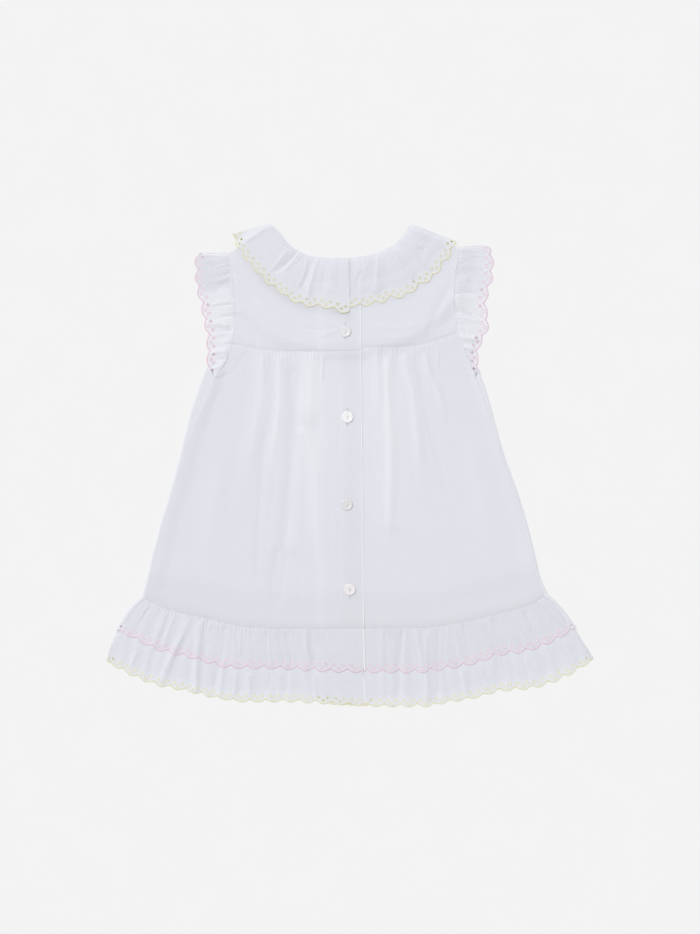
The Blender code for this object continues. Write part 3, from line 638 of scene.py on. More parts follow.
# Ridges of the neck frill on the back, from the centre to the shoulder:
# seam x, seam y, edge x, edge y, height, lean
leftNeckFolds = [
    (-0.9, 191.7, -0.6, 139.4, 1.8, 0.2),
    (-8.3, 191.7, -11.5, 142.6, 1.3, -0.3),
    (-15.1, 191.7, -21.1, 145.3, 0.9, -0.2),
    (-22.5, 192, -30.7, 146.7, 0.9, 0.2),
    (-29.8, 192.6, -40.3, 147.2, 3, -0.9),
    (-36.7, 193.9, -49.5, 150.4, 2.6, 0.8),
    (-42.6, 196.2, -58.7, 155.4, 1.2, -0.3),
    (-46.2, 197.7, -67.4, 162.3, 0.9, -0.3),
    (-50, 199.7, -76.6, 168.7, 3.4, -1),
    (-54.6, 202.8, -85.3, 178.4, 1, 0.2),
    (-58.9, 207.6, -93.5, 187.1, 1.4, -0.5),
    (-63.3, 213.2, -100, 196.2, 1, 0.2),
    (-67.9, 218.2, -105.3, 204.9, 0.9, 0),
    (-70.8, 220.6, -106.6, 211.8, 0.8, 0),
]
rightNeckFolds = [
    (-6.5, 191.6, -6, 147.5, 0, 0),
    (1.1, 191.9, 2.4, 147, 0, 0),
    (8, 192.8, 11.8, 147, 1.8, 0.6),
    (14.7, 193.5, 21.1, 149.5, 1, 0.2),
    (21.1, 194.9, 28, 149.9, 2.8, 0.9),
    (27.5, 196.9, 37.6, 154.5, 0.9, 0),
    (33, 199.4, 47.2, 155, 0.9, 0.2),
    (38.1, 202.2, 56.4, 159.6, 2.8, 0.9),
    (42.2, 205.4, 64.6, 166.4, 0.9, 0),
    (46, 209.3, 74.3, 171.5, 2.5, 0.8),
    (48.9, 213, 81.2, 178.8, 1.2, 0.3),
    (51.2, 216.3, 86.7, 187.5, 0.9, 0),
    (52.9, 218.6, 93.1, 194.9, 0.9, 0.2),
    (54.6, 220.4, 96.2, 204.6, 1, 0.3),
]

# The front neckline and the front half of the neck frill's edge are half ellipses.
frontNeck = {"x": -7.5, "y": 219.0, "across": 62.0, "down": 57.0}
frontFrill = {"x": -5.5, "y": 207.0, "across": 100.0, "down": 86.0, "tilt": 3.5, "folds": 8, "height": 1.0}
frontRamp = (1.05, 1.14)
backRamp = (1.15, 1.30)


# The yokes rise over the front half of the neck frill.
def yokeRise(x, y, ramp):
    across = (x - frontFrill["x"]) / frontFrill["across"]
    down = (y - frontFrill["y"]) / frontFrill["down"]
    return level["collarRoom"] * fade(*ramp, np.sqrt(across * across + down * down))


def backHeight(x, y):
    return level["back"] + yokeRise(x, y, backRamp)


def placketShare(x):
    return smoothStep(placket["rampStart"], placket["rampEnd"], x)


# The left back climbs onto the right one, settles again towards its edge and ends in a small roll.
def placketLay(x, edge, lift, settle):
    away = edge - x
    settled = settle * fade(0.5, placket["settleWidth"], away)
    return (lift - settled) * placketShare(x) + placket["edgeRoll"] * bell(away, placket["rollWidth"])


# The yoke seam meets the placket a little higher on the right back than on the left one.
def seamStep(x, side):
    return placket["seamStep"] * fade(*placket["stepFades"], x) if side == "right" else 0.0


yoke = {
    "columns": 120, "rows": 72, "reach": 40.0, "seamDip": 0.5, "dipWidth": 1.1, "uneven": 0.14,
    "unevenSize": 46.0, "allowance": (6.5, 8.5), "bandTone": 0.2, "thinTone": 0.09, "rollTop": 150.0,
    "flat": {"left": (122.0, 110.0), "right": (119.0, 110.0), "both": (212.0, 110.0)},
    "armColumns": 22, "neckColumns": 70, "frontNeck": (-71.0, 56.0),
    "creases": [
        (-0.8, (5, 4), (8, 8), [(-108, 184), (-98, 172), (-90, 158), (-84, 146)]),
        (-0.7, (7, 2.5), (3, 8), [(-104.5, 141.5), (-98, 138), (-91.5, 132), (-87.5, 123), (-83, 111)]),
        (0.5, (1.6, 1.6), (1.5, 1.5), [(-106, 143.2), (-100, 142)]),
        (-0.5, (2, 2), (2, 4), [(-105, 127.5), (-97, 121)]),
        (-0.7, (7, 8), (10, 10), [(95, 171), (84, 152), (77, 138), (71.5, 119)]),
        (0.3, (4, 4), (8, 8), [(92, 160), (94.5, 147), (95.5, 136)]),
        (0.5, (1.8, 1.6), (9, 1.5), [(-34, 119.5), (-22, 121.3), (-10.5, 125.6)]),
        (-0.35, (2.6, 2.2), (12, 2), [(-48, 127.5), (-30, 126.5), (-12, 127.5)]),
        (0.4, (2, 4), (10, 10), [(20, 130), (44, 127), (66, 131)]),
    ],
}


# Painted shadow of the neck frill's edge on the yokes: darker close to the edge, most on the left, where
# the frill is fuller.
frillShadow = {
    "left": 0.95, "right": 0.4, "outer": 0.45, "leftReach": 4.6, "rightReach": 2.8, "sharpness": 1.6,
}


def frillShade(x, y):
    edge = leftNeckFolds[::-1] + rightNeckFolds
    edgeX, edgeY = [between(edge, k, np.linspace(0, len(edge) - 1, 400)) for k in (2, 3)]
    away = np.full(x.shape, 1000.0)
    for besideX, besideY in zip(edgeX, edgeY):
        away = np.minimum(away, np.hypot(x - besideX, y - besideY))
    right = smoothStep(-4.0, 6.0, x)
    left = frillShadow["left"] * blend(frillShadow["outer"], 1.0, smoothStep(-100.0, -70.0, x))
    reach = blend(frillShadow["leftReach"], frillShadow["rightReach"], right)
    return blend(left, frillShadow["right"], right) * np.exp(-(away / reach) ** frillShadow["sharpness"])


def buildYoke(name, topX, topY, bottomX, height, ramp, side, restsOn):
    shares = np.linspace(0.0, 1.0, yoke["rows"] + 1)
    grid = np.empty((len(topX), len(shares), 3))
    for j, t in enumerate(shares):
        x = blend(topX, bottomX, t)
        y = blend(topY, lineY(yokeLine, bottomX) + seamStep(bottomX, side) + seamGap, t)
        for end, armhole, other in ((0, armholeLeft, "right"), (-1, armholeRight, "left")):
            if side != other:
                near = np.clip(1.0 - np.abs(x - x[end]) / yoke["reach"], 0.0, 1.0)
                x = x + (lineX(armhole[:7], y[end]) - x[end]) * near ** 2
        z = height + yokeRise(x, y, ramp)
        if side == "left":
            z = z + placketLay(x, placket["overEdge"], level["layer"], placket["settle"])
        grid[:, j] = np.stack([x, y, z], axis=1)
    x, y = grid[..., 0], grid[..., 1]
    toSeam = y - lineY(yokeLine, x) - seamStep(x, side)
    grid[..., 2] -= yoke["seamDip"] * bell(toSeam, yoke["dipWidth"])
    layersAndPaintedShade = yoke["bandTone"] * fade(*yoke["allowance"], toSeam) - yoke["thinTone"]
    if side != "both":
        grid[..., 2] += creaseHeight(x, y, yoke["creases"]) + unevenness(yoke, x, y, 2.0)
        # Painted shadow under the neck frill's edge
        layersAndPaintedShade = layersAndPaintedShade + frillShade(x, y)
    addPanel(name, grid, layersAndPaintedShade, yoke["flat"][side], restsOn)
    if side == "left":
        # The placket's edge roll, painted bright as its highlight
        roll = placketRoll["back"]
        edge = (grid[-1] + roll["shift"])[grid[-1, :, 1] < yoke["rollTop"]]
        addBead("yokePlacketEdge", edge, *roll["size"], "bright")


def buildYokes():
    columns = yoke["columns"]
    over, under = placket["overEdge"], placket["underEdge"]
    tops = (neckLine[0][0], neckLine[-1][0])
    bottoms = (yokeLine[0][0], yokeLine[-1][0])
    halves = (
        ("Left", tops[0], over, bottoms[0], over, ["front_yoke", "back_yoke_right", "neck_frill"]),
        ("Right", under, tops[1], under, bottoms[1], ["front_yoke", "neck_frill"]),
    )
    for side, topStart, topEnd, start, end, restsOn in halves:
        top = np.linspace(topStart, topEnd, columns)
        bottom = np.linspace(start, end, columns)
        buildYoke("backYoke" + side, top, lineY(neckLine, top), bottom, level["back"], backRamp,
                  side.lower(), restsOn)
    turns = np.linspace(math.pi, 2.0 * math.pi, yoke["neckColumns"])
    leftArm = np.linspace(tops[0], yoke["frontNeck"][0], yoke["armColumns"])
    rightArm = np.linspace(yoke["frontNeck"][1], tops[1], yoke["armColumns"])
    topX = np.concatenate([leftArm, frontNeck["x"] + frontNeck["across"] * np.cos(turns), rightArm])
    topY = np.concatenate([
        lineY(neckLine, leftArm), frontNeck["y"] + frontNeck["down"] * np.sin(turns),
        lineY(neckLine, rightArm)])
    bottom = np.linspace(*bottoms, len(topX))
    buildYoke("frontYoke", topX, topY, bottom, level["front"], frontRamp, "both", ["ground"])


# Skirt from underarm (0) to hem seam (1):
# share, left fold x, left seam x, right seam x, right fold x
skirtSides = [
    (0.0, -131.9, -124.2, 115.2, 118),
    (0.1, -139.9, -131.3, 122.6, 125.9),
    (0.2, -147.3, -141, 128.8, 132.1),
    (0.35, -155.3, -152.2, 138, 141.2),
    (0.5, -164, -160.8, 149.6, 152.9),
    (0.65, -173.3, -170.1, 159.1, 162.3),
    (0.8, -181.1, -177.7, 166.3, 169.7),
    (0.92, -186.8, -183, 171.4, 175.2),
    (1.0, -191.2, -187.2, 177.2, 181.2),
]

# Columns of the back skirts: x at the yoke, half way and at the hem,
# height of a soft fold at the yoke, half way and at the hem
leftSkirtFolds = [
    (-118.3, -149.5, -176.5, 0, 0, 0),
    (-113, -140.5, -165, 0, 0, 0),
    (-108.8, -131, -154, 0, 0.2, 0.1),
    (-97.5, -116, -139.5, 0, 0.4, 0.2),
    (-86.2, -101.8, -124.7, 0.4, 0.8, 0.3),
    (-80, -92.6, -111, 0.5, 0.2, 0),
    (-74.9, -83.4, -98.1, 0.5, 0.3, 0.1),
    (-69.9, -75.2, -88, 0.5, 0.1, 0),
    (-64.6, -66, -77, 0.6, 0.4, 0.2),
    (-58.7, -59.6, -70.6, 0.5, 0.1, 0),
    (-52.7, -54.1, -64.2, 0.5, 0.1, 0),
    (-42.2, -44, -51.8, 0.6, 0.8, 0.6),
    (-36.7, -37.6, -41.3, 0.5, 0.1, 0.1),
    (-31.2, -29.8, -26.6, 0.5, 0.3, 0.2),
    (-25.2, -23.8, -21.1, 0.5, 0.1, 0),
    (-19.3, -18.3, -16.5, 0.3, 0.1, 0),
    (-11, -9.2, -7.3, 0, 0, 0),
    (9.4, 11, 12.1, 0, 0, 0),
]
rightSkirtFolds = [
    (-19, -17.4, -15.6, 0, 0, 0),
    (11, 12.6, 13.6, 0, 0, 0),
    (15.6, 16.6, 17.2, 0.4, 0.2, 0),
    (20.9, 21.5, 21.1, 0.5, 0.2, 0),
    (28, 28.4, 26.6, 0.5, 0.1, 0),
    (34.4, 35.1, 33, 0.6, 0.6, 0.3),
    (40.8, 45.9, 50.4, 0.5, 0.1, 0),
    (46.8, 54.1, 64.2, 0.5, 0.1, 0),
    (55, 65.1, 78.9, 0.5, 0.5, 0.2),
    (61.9, 73.4, 96.3, 0.5, 0.1, 0),
    (68.6, 83.4, 117.4, 0.6, 0.6, 0.3),
    (76.6, 97.2, 137.6, 0.5, 0.4, 0.1),
    (82.5, 110, 152, 0.3, 0.1, 0),
    (90.5, 120, 158.5, 0, 0.2, 0.1),
    (98.9, 130.5, 164, 0, 0.1, 0.1),
    (104.4, 138, 168.5, 0, 0, 0),
    (109.6, 144.5, 173, 0, 0, 0),
]

skirt = {
    "perColumn": 10, "rows": 100, "hemRise": 0.89, "seamRamp": (2.0, 16.0), "seamDip": 0.5,
    "dipWidth": 1.1, "allowance": 7.8, "gathered": ((-92.0, -17.0), (10.0, 88.0)), "foldShare": 0.16,
    "lean": 0.3, "sideRoll": 0.3, "lap": 0.8, "uneven": 0.22, "unevenSize": 74.0, "foldStart": 0.05,
    "rollPlace": 0.9, "rollWidth": 0.8, "rollFades": (0.3, 0.6), "hemCalm": 0.75, "bandRise": 0.15,
    "flat": {"left": (205.0, 256.0), "right": (200.0, 256.0), "front": (372.0, 262.0)},
    "clearance": 0.9, "lit": (-5.0, 52.0, 66.0, 84.0), "litTone": 0.26, "bandTone": 0.14, "hemTone": 0.38,
    "plainTone": 0.1, "creaseHighlight": 0.18, "placketTone": 0.12, "sideTone": 0.19,
    "leftCreases": [
        (0.8, (48, 26), (8, 60), [(-38, 108), (-40, 50), (-46, -10), (-54, -80)]),
        (-0.7, (2.2, 2.6), (6, 1), [(-126, 79), (-113, 85), (-104, 91), (-99.5, 100), (-95, 106.5)]),
        (-0.8, (3, 3), (4, 4), [(-139, 60), (-136, 66), (-134.5, 74)]),
        (1.2, (13, 11.2), (60, 4), [(-81, 104), (-81.5, 60), (-86, 40), (-92, 10), (-97, -30)]),
        (0.3, (1.6, 2.6), (24, 3), [(-80, 105), (-79.5, 84), (-80, 60)]),
        (-0.5, (6, 6), (30, 30), [(-78, 40), (-82, -20), (-86, -108)]),
        (1.4, (7, 11.2), (60, 3), [(-65, 104), (-64.5, 85), (-65, 60), (-70, 18), (-74, -20)]),
        (-1.2, (11, 8), (30, 12), [(-50, 95), (-51, 40), (-54, 0), (-57, -40), (-62, -80),
            (-66, -110), (-67, -140)]),
        (1.8, (16, 13.8), (14, 3), [(-35.5, 105), (-34.5, 85), (-35, 60), (-35.5, 38)]),
        (1.2, (12, 11.2), (70, 6), [(-43.5, 37.5), (-40, 30), (-35, 24), (-32, 10), (-31, -30),
            (-30, -60), (-27, -90), (-25, -112)]),
        (0.7, (2.6, 1.6), (14, 3), [(-24, 104), (-26.5, 74)]),
        (-0.3, (4, 3), (20, 20), [(-9.5, 90), (-9.5, -60), (-9, -138)]),
        (0.8, (16, 16), (50, 50), [(-118, 30), (-126, -30), (-134, -100)]),
    ],
    "rightCreases": [
        (0.8, (22, 36), (8, 60), [(38, 108), (37, 50), (36, 0), (34, -60)]),
        (1.2, (12, 6.2), (30, 3), [(24, 105), (26, 70), (27, 40)]),
        (1.4, (8, 7.5), (70, 4), [(37, 107), (34.5, 85), (35.5, 60), (38, 20), (37, -40), (33, -85)]),
        (1.2, (8, 7.5), (50, 4), [(50, 105), (53, 85), (58, 65), (60, 45), (63, 20), (65, 0),
            (66.5, -25)]),
        (-1, (4, 7), (45, 4), [(61, 106), (65, 80), (69, 60), (73, 40), (79, 15), (84, -5), (92, -30)]),
        (1.2, (6, 6.2), (20, 3), [(68, 104), (73, 85), (80, 70), (85, 50), (87.5, 40)]),
        (0.6, (2, 2), (6, 3), [(81, 111), (80.5, 100), (80, 90)]),
        (0.7, (16, 16), (40, 40), [(104, 40), (118, -20), (134, -90)]),
        (-0.5, (2.2, 2.6), (8, 8), [(85, -127), (100, -122), (113, -116)]),
    ],
}


def hemPart(share):
    return smoothStep(skirt["hemRise"], 1.0, share)


def sideX(number, share):
    return curve(column(skirtSides, 0), column(skirtSides, number), share)


# The skirt's top edge: the yoke seam between the lower ends of the armholes
def skirtTopY(x):
    left = lineY([(-134.0, 92.5), (-129.0, 91.5)] + sorted(armholeLeft[6:]), x)
    right = lineY(sorted(armholeRight[6:]) + [(118.5, 90.0), (122.0, 90.5)], x)
    y = np.where(x < yokeLine[0][0], left, lineY(yokeLine, x))
    return np.where(x > yokeLine[-1][0], right, y)


def buildBackSkirt(side, folds, restsOn):
    knots = np.arange(len(folds) + 1)
    at = np.linspace(0.0, len(folds), len(folds) * skirt["perColumn"] + 1)
    shares = np.linspace(0.0, 1.0, skirt["rows"] + 1)
    grid = np.empty((len(at), len(shares), 3))
    leans = np.full(len(knots), skirt["lean"])
    for j, t in enumerate(shares):
        x, rise = [[float(curve([0.0, 0.5, 1.0], row[k:k + 3], t)) for row in folds] for k in (0, 3)]
        if side == "left":
            x = [float(sideX(2, t)) - skirt["lap"]] + x
            rise = [0.0] + rise
        else:
            x = x + [float(sideX(3, t)) + skirt["lap"]]
            rise = rise + [0.0]
        grid[:, j, 0] = curve(knots, x, at)
        raised = np.interp(at, knots, rise) * foldWave(at, leans)
        grid[:, j, 2] = skirt["foldShare"] * raised * min(1.0, t / skirt["foldStart"])
    topY = skirtTopY(grid[:, 0, 0]) + seamStep(grid[:, 0, 0], side) - seamGap
    bottomY = lineY(hemSeam, grid[:, -1, 0]) + seamGap
    for j, t in enumerate(shares):
        x = grid[:, j, 0]
        y = blend(topY, bottomY, t)
        grid[:, j, 1] = y
        toHem = hemPart(t)
        fromSide = x - x[0] if side == "left" else x[-1] - x
        base = level["back"] + level["sideLift"] * fade(*skirt["seamRamp"], fromSide)
        base = blend(base, level["hem"], toHem) + yokeRise(x, y, backRamp)
        roll = skirt["sideRoll"] * bell(fromSide - skirt["rollPlace"], skirt["rollWidth"])
        base = base + roll * fade(*skirt["rollFades"], t)
        if side == "left":
            lift = blend(level["layer"], level["placketLift"]["upper"], toHem)
            settle = blend(placket["settle"], placket["hemSettle"]["upper"], toHem)
            base = base + placketLay(x, x[-1], lift, settle)
        grid[:, j, 2] += base
    x, y = grid[..., 0], grid[..., 1]
    fromTop = topY[:, None] - y
    fromHem = y - bottomY[:, None]
    creased = creaseHeight(x, y, skirt[side + "Creases"])
    inGathers = sum(window(x, a, a + 9.0, b - 9.0, b) for a, b in skirt["gathered"])
    extra = creased + puckers(x, fromTop, 1.0) * inGathers
    extra = extra + unevenness(skirt, x, y, 3.0) * smoothStep(0.0, 30.0, fromTop)
    extra = extra * (1.0 - skirt["hemCalm"] * hemPart(shares))[None, :]
    dips = bell(fromTop, skirt["dipWidth"]) + bell(fromHem, skirt["dipWidth"])
    band = fade(skirt["allowance"] - 1.0, skirt["allowance"] + 1.0, fromHem)
    grid[..., 2] += extra - skirt["seamDip"] * dips + skirt["bandRise"] * band
    grid[..., 2] = np.maximum(grid[..., 2], level["front"] + skirt["clearance"])
    # Painted light: where a fold stands off the front skirt, a soft patch is painted paler, as a single
    # layer lit through.
    litX, litY, litWide, litHigh = skirt["lit"]
    lit = np.exp(-((x - litX) / litWide) ** 2 - ((y - litY) / litHigh) ** 2)
    layersAndPaintedShade = skirt["plainTone"] - skirt["litTone"] * lit + skirt["bandTone"] * band
    # The skirt is painted darker over its last rows above the hem seam.
    layersAndPaintedShade = layersAndPaintedShade + skirt["hemTone"] * smoothStep(0.84, 0.93, shares)[None, :]
    # Painted highlight: the raised creases are painted paler.
    layersAndPaintedShade = layersAndPaintedShade - skirt["creaseHighlight"] * np.clip(creased, 0.0, 1.4)
    if side == "left":
        turned = smoothStep(placket["fold"] - 0.5, placket["fold"] + 0.5, x)
        layersAndPaintedShade = layersAndPaintedShade + skirt["placketTone"] * turned
    addPanel("backSkirt" + side.capitalize(), grid, layersAndPaintedShade, skirt["flat"][side], restsOn)
    if side == "left":
        # The placket's edge roll, painted bright as its highlight
        roll = placketRoll["back"]
        addBead("skirtPlacketEdge", grid[-1] + roll["shift"], *roll["size"], "bright")


# A section round both sides: over the left fold, below, and up over the right fold again.
# place runs from 0 at the left flap's edge to 1 at the right one's.
wrap = {"flap": 0.03, "turn": 0.07, "tuck": 0.42, "inset": 0.3}


def wrapped(place, inLeft, foldLeft, foldRight, inRight, low, high):
    radius = (high - low) / 2.0
    flap, turn = wrap["flap"], wrap["turn"]
    mirrored = place > 0.5
    near = np.where(mirrored, 1.0 - place, place)
    fold = np.where(mirrored, foldRight, foldLeft)
    inner = np.where(mirrored, inRight - wrap["inset"], inLeft + wrap["inset"])
    reach = np.where(mirrored, -radius, radius)
    top = np.clip(near / flap, 0.0, 1.0)
    angle = math.pi / 2.0 + math.pi * np.clip((near - flap) / (turn - flap), 0.0, 1.0)
    below = np.clip((near - turn) / (0.5 - turn), 0.0, 1.0)
    x = np.where(near < flap, blend(inner, fold + reach, top), fold + reach * (1.0 + np.cos(angle)))
    x = np.where(near > turn, blend(fold + reach, (foldLeft + foldRight) / 2.0, below), x)
    # The flap's own edge slips under the back piece.
    tucked = high - wrap["tuck"] * fade(0.1, 0.9, top)
    z = np.where(near < flap, tucked, low + radius + radius * np.sin(angle))
    return x, np.where(near > turn, low, z)


def buildFrontSkirt():
    flap, turn = wrap["flap"], wrap["turn"]
    side = np.concatenate([np.linspace(0.0, flap, 8), np.linspace(flap, turn, 14)[1:]])
    place = np.concatenate([side, np.linspace(turn, 1.0 - turn, 90)[1:-1], 1.0 - side[::-1]])
    shares = np.linspace(0.0, 1.0, 61)
    grid = np.empty((len(place), len(shares), 3))
    for j, t in enumerate(shares):
        high = blend(level["back"] + level["sideLift"], level["hem"], hemPart(t))
        x, z = wrapped(place, *[sideX(k, t) for k in (2, 1, 4, 3)], level["front"], high)
        if j == 0:
            topY = skirtTopY(x) - seamGap
        y = blend(topY, lineY(hemSeam, x) + seamGap, t)
        grid[:, j] = np.stack([x, y, z], axis=1)
    atSides = (place < turn) | (place > 1.0 - turn)
    # Painted light: the turned sides are painted paler.
    singleAndPaintedLight = -skirt["sideTone"] * atSides[:, None] * fade(0.45, 0.75, shares)[None, :]
    addPanel("frontSkirt", grid, singleAndPaintedLight, skirt["flat"]["front"], ["ground"])


buildYokes()
buildBackSkirt("left", leftSkirtFolds, ["front_skirt", "back_skirt_right"])
buildBackSkirt("right", rightSkirtFolds, ["front_skirt"])
buildFrontSkirt()
print("yokes and skirts are laid out")


# Ridges of the hem tiers: x at the hem seam, at the pink edge and at the yellow edge, height, lean
leftHemFolds = [
    (-184, -203.8, -211.5, 1.2, 0.3),
    (-178.4, -193.9, -200.8, 1.6, 0.5),
    (-168.7, -182.5, -189.8, 2.4, 0.7),
    (-159.6, -172.4, -182, 1.3, 0.2),
    (-148.6, -161.4, -172.9, 3.2, 1),
    (-141.2, -150.4, -156.8, 1.2, -0.3),
    (-134.3, -139.8, -141.7, 3.2, 1),
    (-124.3, -128.4, -131.1, 1.3, 0.3),
    (-113.7, -116.9, -120.6, 3, 0.9),
    (-104.1, -106.4, -109.1, 1.2, -0.4),
    (-93.5, -92.6, -93.1, 1.5, 0.4),
    (-77, -74.7, -72.8, 2.8, 0.9),
    (-67.9, -64.6, -64.6, 1.2, 0.2),
    (-58.7, -54.6, -56.4, 1.8, 0.6),
    (-41.3, -40.3, -36.7, 2.4, 0.7),
    (-26.6, -24.8, -22.9, 1, -0.2),
    (-11, -10.1, -9.2, 0.4, 0),
    (12.1, 12.8, 13.8, 0, 0),
]
rightHemFolds = [
    (-15.6, -15.6, -14.7, 0, 0),
    (15.6, 16.5, 17.2, 0, 0),
    (28.4, 29.8, 30.3, 1.8, 0.6),
    (38.1, 38.1, 38.1, 1.2, 0.2),
    (50, 50.9, 52.3, 2.8, 0.9),
    (61.4, 67.4, 70.6, 3.2, -0.8),
    (79.8, 81.6, 86.7, 1.8, 0.4),
    (88.9, 92.6, 97.2, 1.2, -0.3),
    (98.1, 104.1, 109.1, 1.7, 0.5),
    (107.3, 115.5, 121.5, 1.3, 0.2),
    (116.5, 127.5, 133.4, 1.7, 0.3),
    (126.5, 138.9, 146.7, 3.2, -0.9),
    (139.4, 152.7, 160.5, 1.4, 0.4),
    (151.3, 166, 173.3, 1.6, -0.4),
    (164.1, 178.4, 186.2, 3, -0.8),
    (173, 194.5, 205.5, 1.3, 0.3),
]

# Creases that run on from the upper tier into the lower one, then those of the lower tier alone
hemCreases = [
    (0.5, (1.5, 4.2), (6, 2), [(-186, -124), (-189, -132), (-200, -150)]),
    (-0.4, (3.9, 2), (4, 2), [(-183, -129), (-193, -142), (-198, -149)]),
    (0.7, (5, 4.8), (6, 3), [(-168, -133), (-172, -144), (-177, -158), (-180, -168)]),
    (0.5, (2.4, 4.2), (5, 3), [(-161, -136), (-165, -146), (-169, -157), (-171, -167)]),
    (1.1, (6.5, 5.8), (4, 5), [(-148.5, -139), (-150, -146), (-154, -156), (-161, -168), (-168, -182),
        (-176, -200)]),
    (1.1, (5, 5.8), (4, 4), [(-136, -140), (-139, -150), (-140.5, -163), (-141, -178), (-142, -209)]),
    (0.4, (2, 3.9), (3, 2), [(-128, -142), (-131, -151)]),
    (-0.9, (5.5, 4), (4, 4), [(-114.5, -145), (-115, -158), (-117, -174), (-120.5, -186),
        (-122, -200), (-120, -213)]),
    (0.6, (2.4, 4.5), (10, 3), [(-101, -147), (-101, -176)]),
    (0.3, (2, 3.6), (5, 4), [(-89, -154), (-87, -165), (-86, -174)]),
    (-1, (7, 1.5), (4, 5), [(-76.5, -150), (-75, -178), (-73, -190), (-72.5, -214)]),
    (-0.7, (4.8, 3), (6, 5), [(-59, -150), (-56.5, -160), (-54, -180), (-57, -192), (-57.5, -210)]),
    (0.9, (2, 5.5), (8, 3), [(-41.5, -149), (-40.5, -163), (-38.5, -173), (-36, -182)]),
    (-0.4, (3.9, 2), (3, 5), [(-38, -163), (-33, -174), (-30, -180)]),
    (0.4, (3, 3.9), (8, 4), [(29, -149), (29.5, -184)]),
    (-1.1, (8, 1.7), (5, 5), [(49, -148), (48, -163), (46.5, -184), (47, -216)]),
    (0.8, (3, 5.2), (4, 4), [(60.5, -148), (62.5, -160), (66, -176), (67, -190)]),
    (1, (2.2, 11), (5, 5), [(69, -150), (69.5, -165), (70, -185), (70.5, -216)]),
    (-0.6, (4.5, 4), (5, 5), [(80.8, -145), (80.5, -184), (83, -212)]),
    (0.4, (1.6, 3.9), (6, 3), [(88.5, -147), (89, -184)]),
    (0.4, (2.2, 3.9), (6, 3), [(96, -147), (98, -160), (101, -176)]),
    (1, (4, 9), (8, 3), [(114, -139), (119, -146), (124, -154), (128.5, -166), (134, -185)]),
    (-0.7, (4.8, 3), (6, 3), [(131, -139), (133.5, -150), (138, -165), (141, -180), (148, -206)]),
    (0.6, (2, 4.5), (5, 3), [(149, -134), (155, -147), (163, -163)]),
    (-0.9, (5.5, 3.2), (5, 3), [(159, -130), (166, -144), (174, -160), (180, -174), (186, -195)]),
    (0.5, (1.6, 4.2), (5, 2), [(174.5, -122), (180.5, -138), (184, -150)]),
    (0.4, (1.6, 3.9), (5, 2), [(178.5, -122), (187, -136), (197, -148)]),
]
lowerHemCreases = [
    (0.8, (2, 5.2), (5, 3), [(-196, -168), (-200, -178), (-204, -187)]),
    (0.7, (3, 4.8), (5, 3), [(-104, -184), (-105, -196), (-107, -211)]),
    (0.8, (4, 5.2), (6, 3), [(-92, -188), (-92.5, -212)]),
    (0.7, (3, 4.8), (6, 3), [(-33, -190), (-31.5, -214)]),
    (0.8, (3.5, 5.2), (6, 3), [(101, -184), (104, -196), (107, -211)]),
    (0.8, (3, 5.2), (6, 3), [(118, -181), (123, -194), (127, -206)]),
    (0.8, (3, 5.2), (5, 3), [(160, -172), (165, -186), (169, -200)]),
    (0.8, (3, 5.2), (5, 3), [(196, -158), (202, -170), (208, -182)]),
]

hem = {
    "lines": [hemSeam, pinkEdge, yellowEdge], "gathered": 0.2, "overhang": 0.12, "sway": 0.5,
    "fold": {"left": [-191.2, -214.2, -223.5], "right": [181.2, 207.5, 223.9]}, "bulge": (4.6, 1.6),
    "upperRadius": 2.1, "lowerInset": 1.2, "flap": 1.0, "foldShare": 0.24, "leanShare": 0.5,
    "lastRow": {"upper": 1.0, "lower": 2.0}, "rows": {"upper": 22, "lower": 34}, "rowLength": 34.0,
    "clearance": 0.4, "endsShort": (3.0, 1.2, 0.0),
    "dip": 0.4, "dipWidth": 1.2, "uneven": 0.12, "unevenSize": 23.0, "frontWaves": 14,
    "frontHeight": 0.5, "frontUp": 9.0,
    "cutDepth": {"upper": 38.0, "lower": 68.0}, "thread": {"upper": "pink", "lower": "yellow"},
}


# Blends three values or arrays along the rows: hem seam 0, pink edge 1, yellow edge 2.
def rowBlend(values, row):
    first = blend(values[0], values[1], np.minimum(row, 1.0))
    return np.where(row <= 1.0, first, blend(values[1], values[2], np.maximum(row - 1.0, 0.0)))


# The side folds of the tiers, which bulge between the seam and the edges
def hemFold(side, row):
    bulge = hem["bulge"][0] * np.sin(math.pi * np.clip(row, 0.0, 1.0) ** 0.75)
    bulge = bulge + hem["bulge"][1] * np.sin(math.pi * np.clip(row - 1.0, 0.0, 1.0))
    return rowBlend(hem["fold"][side], row) + (-0.95 if side == "left" else 1.0) * bulge


def hemY(x, row):
    return rowBlend([lineY(line, x) for line in hem["lines"]], row)


def frontTierHeight(row, tier):
    if tier == "upper":
        return np.full(np.shape(row), level["front"])
    return level["front"] + blend(level["frontTierGap"], -level["frontEdge"], smoothStep(1.0, 2.0, row))


def backTierHeight(row, tier):
    height = level["hem"] + level["hemSwell"] * smoothStep(0.0, 0.9, row)
    if tier == "upper":
        return height - level["tierSettle"] * smoothStep(0.5, 0.8, row)
    return height - level["tierGap"] - level["hemFall"] * smoothStep(0.9, 2.0, row)


def tierSeamX(side, row, tier):
    if tier == "lower":
        radius = (backTierHeight(row, tier) - frontTierHeight(row, tier)) / 2.0
        inset = hem["lowerInset"] * blend(2.0, 1.0, smoothStep(1.0, 2.0, row)) + radius + hem["flap"]
    else:
        inset = hem["upperRadius"] * 2.0 + hem["flap"]
    return hemFold(side, row) + (inset if side == "left" else -inset)


